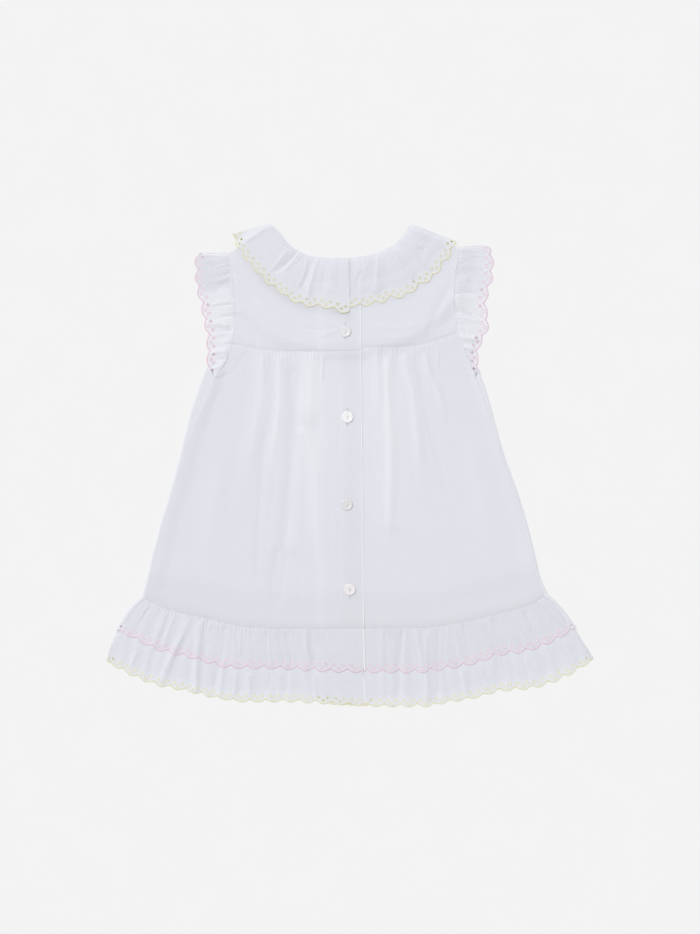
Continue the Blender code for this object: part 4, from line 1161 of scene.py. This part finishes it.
def backTierPlace(folds, side, tier):
    left = side == "left"
    lines = []
    for row in range(3):
        x = [fold[row] for fold in folds]
        seamX = float(tierSeamX(side, np.float64(row), tier))
        if left and tier == "lower":
            x[-1] -= hem["endsShort"][row]
        lines.append([seamX - skirt["lap"]] + x if left else x + [seamX + skirt["lap"]])
    rise = [fold[3] * hem["foldShare"] for fold in folds]
    lean = [fold[4] * hem["leanShare"] for fold in folds]
    rise, lean = [np.array([0.0] + part if left else part + [0.0]) for part in (rise, lean)]
    knots = np.arange(len(rise))
    seed = 1.0 if left else 2.3

    def place(at, share):
        row = share * hem["lastRow"][tier]
        spread = smoothStep(0.0, 0.9, row)
        height = np.interp(at, knots, rise)
        folded = foldWave(at, lean)
        leaning = np.interp(at, knots, lean) * np.minimum(height / 3.0, 1.0)
        moved = np.clip(at + hem["overhang"] * leaning * folded * spread, 0.0, knots[-1])
        x = rowBlend([curve(knots, line, moved) for line in lines], row)
        plainX = rowBlend([curve(knots, line, at) for line in lines], row)
        fromSide = at if left else knots[-1] - at
        x = x + (hemFold(side, row) - rowBlend(hem["fold"][side], row)) * fade(0.0, 2.5, fromSide)
        away = row * hem["rowLength"]
        y = hemY(x, row) - hem["sway"] * (folded - 0.4) * np.minimum(height, 2.0) * spread
        y = y - seamGap * (row < 0.001)
        z = backTierHeight(row, tier) + height * folded * blend(hem["gathered"], 1.0, spread)
        if left:
            # The left tiers clear both right ones, and only the lower one goes on past the pink edge.
            lift = level["placketLift"][tier]
            if tier == "lower":
                lift = lift - 0.35 * smoothStep(0.55, 0.85, row) - 0.45 * smoothStep(1.0, 1.4, row)
            edge = rowBlend([line[-1] for line in lines], row)
            z = z + placketLay(plainX, edge, lift, placket["hemSettle"][tier])
        seamX = curve(knots, lines[0], at)
        fine = puckers(seamX * 1.02, away, seed) * (1.0 - window(seamX, -18.0, -10.0, 13.0, 20.0))
        creased = creaseHeight(x, y, hemCreases)
        if tier == "lower":
            creased = creased + creaseHeight(x, y, lowerHemCreases) * smoothStep(1.0, 1.2, row)
        room = backTierHeight(row, "lower") - frontTierHeight(row, "lower") - hem["clearance"]
        z = z + np.maximum(creased, -np.maximum(room, 0.0)) * smoothStep(0.0, 0.12, row)
        z = z + fine - hem["dip"] * bell(away, hem["dipWidth"])
        z = z + unevenness(hem, x, y, 4.0) * smoothStep(0.1, 0.6, row)
        return np.stack([x, y, z], axis=1)

    return place, len(folds)


def frontTierPlace(tier):
    turn = wrap["turn"]

    def place(at, share):
        row = share * hem["lastRow"][tier]
        low = frontTierHeight(row, tier)
        high = backTierHeight(row, tier)
        inset = hem["lowerInset"] * fade(1.0, 2.0, row) if tier == "lower" else 0.0
        near = at / hem["frontWaves"]
        x, z = wrapped(near, tierSeamX("left", row, tier), hemFold("left", row) + inset,
                       hemFold("right", row) - inset, tierSeamX("right", row, tier), low, high)
        below = window(near, turn, turn + 0.03, 0.97 - turn, 1.0 - turn)
        wave = (1.0 - np.cos(2.0 * math.pi * at)) / 2.0
        swell = smoothStep(0.0, 0.9, row) * (1.0 - 0.7 * smoothStep(1.2, 2.0, row))
        z = z + hem["frontHeight"] * swell * wave * below
        # The front's edge ends higher up, except in the middle.
        higher = hem["frontUp"] * smoothStep(0.0, 1.0, share) * below
        higher = higher * (1.0 - window(x, -34.0, -22.0, 14.0, 26.0))
        return np.stack([x, hemY(x, row) + higher, z], axis=1)

    return place, hem["frontWaves"]


# Painted shade and light: the upper tier is painted darker where it lies on the lower one, less so on the
# far left, and the lower tier paler near its free edge, where a single layer lies on the ground. The lower
# one's cloth shows through the upper eyelets.
hemLayersAndShading = {
    "upper": lambda points, share: 0.24 + 0.22 * smoothStep(-150.0, -60.0, points[:, 0]),
    "lower": lambda points, share: -fade(0.44, 0.49, share),
}


def buildHem():
    pieces = []
    for tier in ("lower", "upper"):
        rows, cutDepth, thread = [hem[key][tier] for key in ("rows", "cutDepth", "thread")]
        strip = Strip(*frontTierPlace(tier))
        name = "hem" + tier.capitalize()
        under = ["ground"] if tier == "lower" else ["hem_lower_front"]
        addStrip(name + "Front", strip, rows // 3, cutDepth, under)
        addEmbroidery(name + "FrontThread", strip, thread)
        for side, folds in (("left", leftHemFolds), ("right", rightHemFolds)):
            strip = Strip(*backTierPlace(folds, side, tier))
            name = "hem" + tier.capitalize() + "Back" + side.capitalize()
            under = ["hem_lower_back_" + side] if tier == "upper" else ["hem_lower_front"]
            addStrip(name, strip, rows, cutDepth, under, hemLayersAndShading[tier])
            addEmbroidery(name + "Thread", strip, thread)
            pieces.append((name, strip.scallops))
            if side == "left":
                # The tier's placket edge roll, painted bright as its highlight
                roll = placketRoll["hem"]
                down = np.linspace(0.0 if tier == "upper" else 0.56, 0.97, 40)
                edge = strip.place(np.full(len(down), float(len(folds))), down) + roll["shift"]
                addBead(name + "Edge", edge, *roll["size"], "bright")
    print("hem tiers:", pieces)


buildHem()


# Where the neck frill turns over at the shoulders: seam x, seam y, edge x, edge y
leftNeckTurn = (-73.0, 223.6, -108.0, 214.2)
rightNeckTurn = (57.2, 222.9, 97.6, 207.4)

neckCreases = [
    (0.8, (5, 3.2), (2, 2), [(-98, 207), (-90, 211), (-77, 219.8)]),
    (-1.3, (4.4, 9), (2, 4), [(-78, 171), (-70, 177), (-60, 185), (-52, 191.5), (-47, 198)]),
    (0.7, (3, 8), (2, 3), [(-58, 200), (-64, 190), (-70, 183), (-81, 172.5)]),
    (0.5, (3, 2.6), (5, 4), [(-45.5, 196), (-53, 189), (-58, 181.5), (-62, 177)]),
    (-0.4, (2.6, 2), (3, 3), [(-40.5, 194.5), (-45, 190), (-50, 185.5)]),
    (-1, (3.8, 8), (4, 4), [(-35.5, 190), (-38, 179), (-43, 168), (-49, 157)]),
    (0.8, (5, 3.2), (4, 4), [(-28.5, 192), (-32.5, 181), (-36.5, 168), (-39.5, 152)]),
    (-0.6, (3, 2), (2, 2), [(-41, 152.5), (-38, 148), (-35, 144)]),
    (-0.3, (3, 6), (6, 4), [(-23, 189), (-24, 170), (-26, 152)]),
    (-0.4, (3.2, 8), (6, 3), [(-10.5, 191), (-11, 170), (-10.5, 146)]),
    (0.5, (6, 2.6), (3, 3), [(-1.5, 192), (-2, 180), (-1.2, 168), (0.2, 155), (0.6, 142)]),
    (0.4, (1.4, 3), (3, 3), [(12, 191.5), (13, 186), (14, 180)]),
    (-0.5, (2.8, 3), (4, 3), [(14, 181), (8.5, 175.5), (6.5, 170), (6, 150)]),
    (0.4, (1.4, 2.4), (3, 3), [(18, 189.5), (15.5, 184), (13, 178)]),
    (1.1, (1.5, 10), (5, 3), [(25, 195), (24.5, 185), (24, 175), (22.5, 165), (21, 157)]),
    (1.3, (1.5, 10), (4, 3), [(39.5, 201), (45, 193), (50, 185), (55, 175), (58, 168)]),
    (1, (1.5, 8), (4, 3), [(46.5, 210), (55, 201), (62, 193), (69, 184), (75, 177)]),
    (0.6, (1.5, 5), (3, 4), [(51, 214), (57, 208), (64, 201.5), (70, 196)]),
    (-0.6, (3, 3.5), (4, 4), [(59, 197.5), (65, 199.5), (71, 200)]),
    (-0.5, (3, 2), (3, 3), [(65.5, 188), (66.5, 194), (68.5, 200)]),
    (0.8, (7, 3.2), (4, 3), [(56, 218.5), (66, 214), (78, 209.5), (83, 206), (90, 199)]),
]
neckFrill = {
    "roll": 0.9, "rollEnd": 0.5, "spread": 0.6, "gathered": 0.3, "rows": 24, "overhang": 0.2,
    "downStart": 14.5, "downEnd": 27.0, "cutDepth": 44.0, "pucker": 0.42, "dip": 0.7, "dipWidth": 2.0,
    "settle": 1.35, "foldShare": 0.08, "tuck": 0.62, "endRoll": 0.25, "endRaise": 0.42, "endSink": 0.3,
    "sunkRight": 1.2, "edgeGap": 1.25, "turnRise": {"left": 0.3, "right": 0.6}, "endBead": (0.3, 0.26),
    "uneven": 0.1, "unevenSize": 21.0, "singleAndPaintedLight": (-98.0, 207.5, 0.61), "behind": 0.2, "light": 0.35,
    "shoulder": (-98.0, 203.7, 0.614), "shoulderFall": 4.6, "fallReach": 13.0, "shoulderFloor": 0.5,
}

# Ridges of the armhole frills on the back, from the underarm to the shoulder:
# share of the armhole from the shoulder, edge x, edge y, height, lean
leftSleeveFolds = [
    (1, -131.5, 76, 0.4, 0),
    (0.965, -133, 81.5, 0.8, 0),
    (0.9, -133, 88.5, 1.4, 0.3),
    (0.82, -131.3, 97.5, 1.2, -0.2),
    (0.74, -132, 105.5, 1.7, 0.6),
    (0.67, -131.6, 113.2, 1, 0),
    (0.6, -132, 121, 2.8, 0.8),
    (0.52, -133.4, 129.3, 0.9, 0),
    (0.44, -135.9, 138.5, 1.3, 0.4),
    (0.36, -136.8, 147.2, 2.2, 0.7),
    (0.28, -139.4, 156.8, 1, 0.2),
    (0.2, -141.4, 166, 3, -0.9),
    (0.11, -142.3, 176.5, 0.9, 0),
    (0.04, -142.6, 189, 1.4, 0.2),
]
rightSleeveFolds = [
    (1, 119.5, 76.5, 0.4, 0),
    (0.965, 119.6, 83, 0.8, 0),
    (0.9, 119.4, 90, 1.2, -0.3),
    (0.82, 117.6, 98.8, 1.3, 0.2),
    (0.74, 119.2, 106.8, 1.7, -0.5),
    (0.67, 121, 115.1, 2.4, -0.8),
    (0.6, 126.1, 123.8, 1, 0),
    (0.52, 127.9, 133.9, 2.8, -0.8),
    (0.44, 126.1, 142.6, 1, 0),
    (0.36, 126.1, 151.8, 1.6, -0.5),
    (0.28, 127.5, 161.4, 1, 0),
    (0.2, 130.2, 170.1, 3, -0.9),
    (0.11, 131.9, 180.6, 1.4, -0.3),
    (0.05, 131.8, 192.5, 1.8, 0.2),
    (0.02, 130.4, 199.2, 0.6, 0),
]
leftSleeveCreases = [
    (-1.46, (8, 13), (3, 4), [(-143, 161), (-130, 162), (-120, 166), (-107, 169.5)]),
    (0.49, (1.6, 1.6), (2, 2), [(-120, 171), (-113, 173.5), (-107.5, 174.5)]),
    (-0.49, (1.6, 1.6), (2, 2), [(-117, 176), (-108.5, 179)]),
    (0.49, (2, 2), (3, 2), [(-124, 183), (-110, 186.5)]),
    (-0.78, (1.8, 3), (3, 2), [(-130, 145.5), (-120, 148), (-107.5, 149)]),
    (-0.59, (2.2, 2.2), (3, 2), [(-119, 138), (-106, 138.5)]),
    (1.27, (7, 7), (4, 2), [(-134, 132.5), (-120, 131.5), (-111, 129)]),
    (-0.98, (2, 7), (3, 2), [(-131, 120.5), (-120, 124.5), (-106.5, 123.5)]),
    (0.68, (2.2, 2), (3, 2), [(-119, 113.5), (-108.5, 116.5)]),
    (1.08, (6, 5), (2, 3), [(-130, 104.5), (-121, 105.5), (-112, 105.5)]),
    (-0.78, (2, 3), (2, 2), [(-128, 96.5), (-121, 98), (-114, 99)]),
    (0.78, (2, 2), (2, 2), [(-131, 89), (-124, 91), (-119, 92)]),
]
rightSleeveCreases = [
    (-0.78, (2.4, 3), (4, 3), [(101, 199), (110, 193), (127, 190)]),
    (-0.49, (2, 2), (2, 4), [(98, 184.5), (110, 189.5)]),
    (-1.37, (6, 13), (3, 3), [(96.5, 177), (106, 176), (111, 171.5), (118, 169), (131, 167)]),
    (0.88, (2.4, 2), (3, 3), [(105, 174), (112, 170), (120, 164.5), (127, 161.5)]),
    (-0.68, (2, 3), (2, 5), [(95, 159), (106, 159.5), (119, 157.5)]),
    (0.78, (2.4, 2), (3, 3), [(95, 155), (103, 147), (111, 138)]),
    (-1.08, (2.4, 6), (2, 3), [(96.5, 143.5), (103, 141.5), (110, 137), (123, 135.5)]),
    (-0.59, (2, 2), (2, 2), [(97, 132.5), (103, 128), (108, 122.5)]),
    (1.17, (6, 6), (2, 3), [(99, 118.5), (110, 118), (119, 117)]),
    (0.88, (4, 4), (2, 3), [(103, 109.5), (116, 108)]),
    (-0.78, (2, 3), (2, 2), [(104, 101.5), (116, 99)]),
    (0.78, (2, 2), (2, 2), [(108, 92.5), (117, 90.5)]),
]
sleeveFrill = {
    "turn": {"left": (-140.5, 196.6), "right": (125.8, 203.2)}, "offset": {"left": 0.4, "right": -0.4},
    "frontWaves": 6, "frontHeight": 0.25, "frontShort": 0.2, "rows": 20, "overhang": 0.2,
    "cutDepth": 29.0, "gathered": 0.3, "pucker": 0.5, "dip": 0.25, "dipWidth": 1.3, "settle": 1.0,
    "uneven": 0.1, "unevenSize": 21.0, "foldShare": 0.26, "front": 0.3, "spread": 0.6,
    "climb": {0: 1.2, 1: 0.2}, "edgeClimb": 1.4,
    "lone": -0.3, "together": {"left": 0.42, "right": -0.06}, "shade": (157.0, 167.0), "foldHighlight": -0.5,
    "beads": {
        "Seam": {"start": 0.0, "steps": 120, "aside": 0.2, "lift": (0.12, 0.12), "size": (0.36, 0.34)},
        "Underarm": {"start": 0.9, "steps": 30, "aside": -0.95, "lift": (-0.5, 0.0), "size": (0.62, 0.3)},
    },
}


# The height of the yokes, over the placket and beside it
def yokeTop(x, y, reach):
    away = placket["overEdge"] - x
    settled = placket["settle"] * fade(0.5, placket["settleWidth"], away)
    over = (level["layer"] - settled) * placketShare(x) * fade(0.5, reach, -away)
    return backHeight(x, y) + over


# The height that a frill's back half stays above: the yokes, or the frill's own front half
def aboveYokes(x, y):
    return yokeTop(x, y, 3.0) + 0.36


def aboveFront(x, y):
    return sleeveFrill["front"] + 0.46


# Each row of the table is a ridge: seam x, seam y, edge x, edge y, height, level at the seam,
# level at the edge, share of the roll, lean, extra height kept above what lies under it
def gatheredPlace(table, size, creases, above, seed):
    knots = np.arange(len(table))
    leans = column(table, 8)
    heights = column(table, 4) * size["foldShare"]
    seamKnots = np.linspace(0, knots[-1], 900)
    seamRun = arcLength(np.column_stack([between(table, k, seamKnots) for k in (0, 1)]))

    def place(at, share):
        swell = smoothStep(0.0, size["spread"], share)
        height = curve(knots, heights, at)
        folded = foldWave(at, leans)
        leaning = np.interp(at, knots, leans) * np.minimum(height / 3.0, 1.0)
        moved = np.clip(at + size["overhang"] * leaning * folded * swell, 0.0, knots[-1])
        seamX, seamY, edgeX, edgeY = [between(table, k, moved) for k in range(4)]
        low, high, rolled, raised = [between(table, k, at) for k in (5, 6, 7, 9)]
        z = blend(low, high, swell) + height * folded * blend(size["gathered"], 1.0, swell)
        if "roll" in size:
            z = z + rolled * size["roll"] * np.sin(math.pi * np.minimum(1.0, share / size["rollEnd"]))
        away = share * size["cutDepth"]
        onBack = smoothStep(level["front"] + 0.3, level["back"], low)
        z = z - size["dip"] * bell(away, size["dipWidth"]) * onBack
        x = blend(seamX, edgeX, share)
        y = blend(seamY, edgeY, share)
        z = z + unevenness(size, x, y, seed) * onBack * smoothStep(0.1, 0.6, share)
        run = np.interp(at, seamKnots, seamRun)
        change = creaseHeight(x, y, creases) + puckers(-run, away, seed) * size["pucker"]
        change = change - size["settle"] * smoothStep(0.58, 0.86, share)
        room = np.maximum(z - above(x, y) - raised, 0.0)
        z = z + np.maximum(change, -room) * onBack * smoothStep(0.0, 0.06, share)
        if "shoulder" in size:
            # Past the left shoulder the frill comes down to the ground.
            cornerX, cornerY, slope = size["shoulder"]
            past = y - cornerY - (x - cornerX) * slope
            fall = size["shoulderFall"] * smoothStep(0.5, size["fallReach"], past) * (x < -60.0)
            z = np.maximum(z - fall, np.minimum(z, level["front"] + size["shoulderFloor"]))
        return np.stack([x, y, z], axis=1)

    return place, knots[-1]


# The neck frill lies over the placket and comes down on both sides of it.
def frillLift(x):
    down = smoothStep(neckFrill["downStart"], neckFrill["downEnd"], x)
    return level["layer"] * float(placketShare(x) * (1.0 - down))


# Its edge stays a little above whatever is under it.
def frillEdge(x, y):
    return min(float(yokeTop(x, y, 4.0)) + neckFrill["edgeGap"], level["collar"] + level["layer"])


def buildNeckFrill():
    rows = []
    for seamX, seamY, edgeX, edgeY, height, lean in leftNeckFolds:
        # The left end lies low on the right one.
        toEnd = float(smoothStep(-9.0, -1.0, seamX))
        sunk = neckFrill["endSink"] * toEnd
        up = level["collar"] + frillLift(seamX) - sunk
        rolled = blend(1.0, neckFrill["endRoll"], toEnd)
        edge = frillEdge(edgeX, edgeY) - sunk
        raised = neckFrill["endRaise"] * float(smoothStep(-15.0, -9.0, seamX))
        rows.append((seamX, seamY, edgeX, edgeY, height * (1.0 - toEnd), up, edge, rolled, -lean, raised))
    middle = (level["front"] + level["collar"]) / 2.0
    low = {side: level["front"] + rise for side, rise in neckFrill["turnRise"].items()}
    rows.append((*leftNeckTurn, 0.0, middle, low["left"], 0.5, 0.0, 0.0))
    for turn in np.linspace(math.pi, 2.0 * math.pi, frontFrill["folds"] + 2):
        across, down = math.cos(turn), math.sin(turn)
        rows.append((
            frontNeck["x"] + frontNeck["across"] * across, frontNeck["y"] + frontNeck["down"] * down,
            frontFrill["x"] + frontFrill["across"] * across,
            frontFrill["y"] + frontFrill["down"] * down - frontFrill["tilt"] * across,
            frontFrill["height"] * math.sqrt(abs(down)), level["front"], level["front"], 0.0, 0.0, 0.0))
    rows.append((*rightNeckTurn, 0.0, middle, low["right"], 0.5, 0.0, 0.0))
    for number, (seamX, seamY, edgeX, edgeY, height, lean) in enumerate(reversed(rightNeckFolds)):
        # The right end is tucked under the left one.
        tucked = neckFrill["tuck"] * (1.0 - float(smoothStep(1.0, 9.0, seamX)))
        up = level["collar"] + frillLift(seamX) - tucked
        rolled = 1.0 - tucked / neckFrill["tuck"]
        edge = frillEdge(edgeX, edgeY) - tucked - (neckFrill["sunkRight"] if number == 0 else 0.0)
        rows.append((seamX, seamY, edgeX, edgeY, height, up, edge, rolled, -lean, 0.0))
    strip = Strip(*gatheredPlace(rows, neckFrill, neckCreases, aboveYokes, 5.0))

    # Past the left shoulder the frill is a single layer, with the light ground behind it: a band just past
    # the fold line is painted darker, and the cloth beyond it painted paler.
    def layersAndShading(points, share):
        x, y, slope = neckFrill["singleAndPaintedLight"]
        past = points[:, 1] - y - (points[:, 0] - x) * slope
        tone = neckFrill["behind"] * smoothStep(0.0, 1.5, past)
        tone = tone - neckFrill["light"] * smoothStep(4.5, 9.0, past)
        return tone * fade(-76.0, -68.0, points[:, 0])

    under = ["back_yoke_left", "back_yoke_right", "ground"]
    addStrip("neckFrill", strip, neckFrill["rows"], neckFrill["cutDepth"], under, layersAndShading)
    addEmbroidery("neckFrillThread", strip, "yellow")
    # A flat roll along the frill's left end, painted bright as the highlight over the overlap
    down = np.linspace(0.02, 0.93, 60)
    addBead("neckFrillEnd", strip.place(np.zeros(len(down)), down), *neckFrill["endBead"], "bright")
    return strip


# A point on an armhole seam, moved off it by outward: above 0 to the left, below 0 to the right
def armholePoint(table, share, outward):
    fine = np.linspace(table[0][1], table[-1][1], 200)
    path = np.column_stack([lineX(table, fine), fine])
    run = arcLength(path) / arcLength(path)[-1]
    places = (share, min(share + 0.03, 1.0), max(share - 0.03, 0.0))
    here, after, before = [np.array([np.interp(at, run, path[:, k]) for k in (0, 1)]) for at in places]
    onward = after - before
    return here + np.array([onward[1], -onward[0]]) / np.hypot(*onward) * outward


def buildSleeveFrill(side, armhole, folds, creases, seed):
    turn, outward, together = [sleeveFrill[key][side] for key in ("turn", "offset", "together")]
    front, edgeTop = sleeveFrill["front"], level["sleeveEdge"]
    rows = []
    for number, (share, edgeX, edgeY, height, lean) in enumerate(folds):
        seam = armholePoint(armhole, share, outward)
        # The end of the frill climbs over the skirt's side.
        climb = sleeveFrill["climb"].get(number, 0.0)
        up = float(backHeight(*seam)) + climb
        edge = edgeTop + sleeveFrill["edgeClimb"] * climb
        rows.append((*seam, edgeX, edgeY, height, up, edge, 0.0, lean, 0.0))
    seam = armholePoint(armhole, 0.0, outward)
    seamRadius = (float(backHeight(*seam)) - level["front"]) / 2.0
    edgeRadius = (edgeTop - front) / 2.0
    for above in (1.0, 0.0, -1.0):
        inward = 1.0 - abs(above)
        rows.append((
            seam[0], seam[1] + seamRadius * inward, turn[0], turn[1] - edgeRadius * (1.0 - inward), 0.0,
            level["front"] + seamRadius * (1.0 + above), front + edgeRadius * (1.0 + above), 0.0, 0.0, 0.0))
    for place in np.linspace(len(folds) - 1, 0, sleeveFrill["frontWaves"]):
        share, *edge = [float(between(folds, k, place)) for k in range(3)]
        seam = armholePoint(armhole, share, outward)
        edge = blend(np.array(edge), seam, sleeveFrill["frontShort"])
        rows.append((*seam, *edge, sleeveFrill["frontHeight"], level["front"], front, 0.0, 0.0, 0.0))
    strip = Strip(*gatheredPlace(rows, sleeveFrill, creases, aboveFront, seed))

    # Painted shade and light: the back half is painted darker near the shoulder, where it lies on the front
    # half (the left sleeve darker there, the right one not), paler further down, where it lies alone, and
    # paler again just below the top fold, as a painted highlight.
    def layersAndShading(points, share):
        y = points[:, 1]
        tone = blend(sleeveFrill["lone"], together, smoothStep(*sleeveFrill["shade"], y))
        return blend(tone, sleeveFrill["foldHighlight"], smoothStep(turn[1] - 4.0, turn[1] - 1.0, y))

    name = "sleeveFrill" + side.capitalize()
    addStrip(name, strip, sleeveFrill["rows"], sleeveFrill["cutDepth"], ["ground"], layersAndShading)
    addEmbroidery(name + "Thread", strip, "pink")
    # The armhole seam's narrow roll, and the seam allowance doubled under its end at the underarm
    for part, bead in sleeveFrill["beads"].items():
        shares = np.linspace(bead["start"], 1.0, bead["steps"])
        line = np.array([armholePoint(armhole, share, outward * bead["aside"]) for share in shares])
        height = backHeight(line[:, 0], line[:, 1]) + level["sideLift"] * smoothStep(0.72, 0.99, shares)
        height = height + blend(*bead["lift"], smoothStep(0.9, 0.97, shares))
        addBead(name + part, np.column_stack([line, height]), *bead["size"], "white")


neckStrip = buildNeckFrill()
buildSleeveFrill("left", armholeLeft, leftSleeveFolds, leftSleeveCreases, 6.0)
buildSleeveFrill("right", armholeRight, rightSleeveFolds, rightSleeveCreases, 7.5)
print("neck and armhole frills are gathered:", neckStrip.scallops, "scallops round the neck")


button = {
    "radius": 5.4, "thickness": 0.95, "dish": 0.28, "rim": 1.5, "hole": 0.42, "spread": 1.1,
    "seat": 0.02, "strand": 0.19, "strands": (-0.36, -0.12, 0.12, 0.36), "twisted": 0.2,
    "places": [(-4.5, 124.3), (-2.4, 45.9), (-2.9, -34.6), (-0.3, -112.3)],
    "colours": [(0.84, 0.84, 0.86), (0.96, 0.96, 0.96), (0.81, 0.80, 0.81), (0.90, 0.89, 0.88)],
    "depths": [(0.76, 0.76, 0.78), (0.89, 0.89, 0.90), (0.71, 0.70, 0.71), (0.82, 0.80, 0.79)],
}
buttonhole = {"length": 15.0, "row": 0.65, "slit": 0.2, "tack": 0.91, "pitch": 0.42, "thread": 0.13}


def buildButton(number, x, y):
    name = "button" + str(number)
    seat = float(backHeight(x, y)) + level["layer"] + button["seat"]
    radius, thick, spread = button["radius"], button["thickness"], button["spread"]
    face = thick - button["dish"]
    inner = radius - button["rim"]
    profile = [(0.0, face), (inner * 0.6, face), (inner - 0.5, face + 0.05), (inner - 0.15, face + 0.2),
               (inner + 0.1, thick - 0.12), (inner + 0.45, thick), (radius - 0.75, thick - 0.03),
               (radius - 0.3, thick - 0.22), (radius - 0.06, thick - 0.6), (radius, thick * 0.55),
               (radius - 0.12, thick * 0.3), (radius - 0.6, 0.08), (radius - 1.2, 0.0), (0.0, 0.0)]
    mesh = bpy.data.meshes.new(name)
    points = [(a * millimetre, 0.0, b * millimetre) for a, b in profile]
    mesh.from_pydata(points, [(i, i + 1) for i in range(len(profile) - 1)], [])
    colours = button["colours"][number - 1], button["depths"][number - 1]
    finishes[name] = pearlFinish(name + "_pearl", *colours, number * 0.1)
    disc = addObject(name, mesh, name)
    disc.location = (x * millimetre, y * millimetre, seat * millimetre)
    turned = disc.modifiers.new("turn", "SCREW")
    turned.steps = 56
    turned.render_steps = 56
    turned.use_merge_vertices = True
    turned.merge_threshold = 0.00001
    turned.use_smooth_shade = True
    # Two rods cut the holes.
    turn = circle(16)
    rods, faces = [], []
    for side in (-1.0, 1.0):
        ring = np.column_stack([np.cos(turn), np.sin(turn), np.zeros(16)]) * button["hole"]
        rod = np.stack([ring + (0.0, side * spread, height) for height in (-1.0, thick + 1.0)])
        faces += sweep(rod, 32 * len(rods))
        rods.append(rod.reshape(-1, 3) * millimetre)
    cutMesh = bpy.data.meshes.new(name + "Holes")
    cutMesh.from_pydata(np.concatenate(rods).tolist(), [], faces)
    cutter = placeObject(name + "Holes", cutMesh)
    cutter.location = disc.location
    cutter.hide_render = True
    drill = disc.modifiers.new("holes", "BOOLEAN")
    drill.operation = "DIFFERENCE"
    drill.object = cutter
    depsgraph = bpy.context.evaluated_depsgraph_get()
    bpy.context.view_layer.update()
    whole = bpy.data.meshes.new_from_object(disc.evaluated_get(depsgraph))
    disc.modifiers.clear()
    disc.data = whole
    whole.shade_smooth()
    whole.set_sharp_from_angle(angle=math.radians(50.0))
    bpy.data.objects.remove(cutter)
    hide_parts("button_" + str(number))

    # Four strands of thread run from one hole to the other.
    turn = np.linspace(0.0, math.pi, 15)
    lift = seat + face + 0.12 + 0.3 * np.sin(turn) ** 0.6 - 0.5 * (np.abs(np.cos(turn)) ** 14)
    strands = []
    for shift in button["strands"]:
        acrossX = np.full(15, x + shift * (1.0 + button["twisted"] * number))
        strands.append(np.column_stack([acrossX, y - spread * np.cos(turn), lift]))
    addCords(name + "Thread", strands, button["strand"], button["strand"], "bright")

    # The buttonhole runs down the placket: two rows of close stitches, a slit and two bar tacks.
    half, slit, tack = buttonhole["length"] / 2.0, buttonhole["slit"], buttonhole["tack"]
    stitches = []
    for side in (-1.0, 1.0):
        for place in np.arange(-half, half, buttonhole["pitch"]):
            stitches.append((side * slit, side * (slit + buttonhole["row"]), place))
    for end in (-half, half):
        stitches += [(-tack, tack, end + place) for place in np.arange(-0.5, 0.55, 0.35)]
    rows = [np.array([(x + start, y + place, seat), (x + stop, y + place, seat)])
            for start, stop, place in stitches]
    addCords("buttonhole" + str(number), rows, buttonhole["thread"], buttonhole["thread"], "bright")
    # The slit is a pale grey cord: painted shade in the slit
    line = np.array([(x, y + place, seat - 0.02) for place in (-half, 0.0, half)])
    addCords("buttonholeSlit" + str(number), [line], slit, slit, "slit")


for number, (x, y) in enumerate(button["places"], start=1):
    buildButton(number, x, y)
print("buttons are sewn on")


# Ground, light and camera
studio = {
    "ground": (0.185, 0.185, 0.185), "groundFaint": (0.175, 0.175, 0.175), "groundLight": 0.705,
    "groundHalf": 6.0, "ambient": 0.66, "sun": 1.35, "sunAngle": 34.0,
    "sunTurn": (math.radians(38.0), 0.0, math.radians(-140.0)),
    "lens": 85.0, "sensor": 36.0, "frameHeight": 856.5, "aimHeight": 4.0,
}


def buildStudio():
    scene = bpy.context.scene
    half = studio["groundHalf"]
    mesh = bpy.data.meshes.new("ground")
    corners = [(-half, -half, 0.0), (half, -half, 0.0), (half, half, 0.0), (-half, half, 0.0)]
    mesh.from_pydata(corners, [], [(0, 1, 2, 3)])
    ground = placeObject("ground", mesh)
    # Mostly lit from within, so that only a trace of a shadow falls on it
    paint = Paint("pale_floor", Roughness=0.9)
    grain = paint.node("TexNoise", None, {"Scale": 300.0, "Detail": 2.0})
    colour = paint.mix(studio["ground"], studio["groundFaint"], grain)
    paint.surface(Base_Color=colour, Emission_Color=(1.0, 1.0, 1.0))
    paint.surface(Emission_Strength=studio["groundLight"])
    mesh.materials.append(paint.material)
    world = bpy.data.worlds.new("studio")
    world.use_nodes = True
    background = world.node_tree.nodes["Background"]
    background.inputs["Color"].default_value = (1.0, 1.0, 1.0, 1.0)
    background.inputs["Strength"].default_value = studio["ambient"]
    scene.world = world
    sun = bpy.data.lights.new("softSun", "SUN")
    sun.energy = studio["sun"]
    sun.angle = math.radians(studio["sunAngle"])
    placeObject("softSun", sun).rotation_euler = studio["sunTurn"]
    lens = bpy.data.cameras.new("camera")
    lens.lens = studio["lens"]
    lens.sensor_width = studio["sensor"]
    camera = placeObject("camera", lens)
    distance = studio["lens"] / studio["sensor"] * studio["frameHeight"] + studio["aimHeight"]
    camera.location = (0.0, 0.0, distance * millimetre)
    bpy.context.scene.camera = camera
    scene.view_settings.view_transform = "Standard"


buildStudio()
print("studio is set")
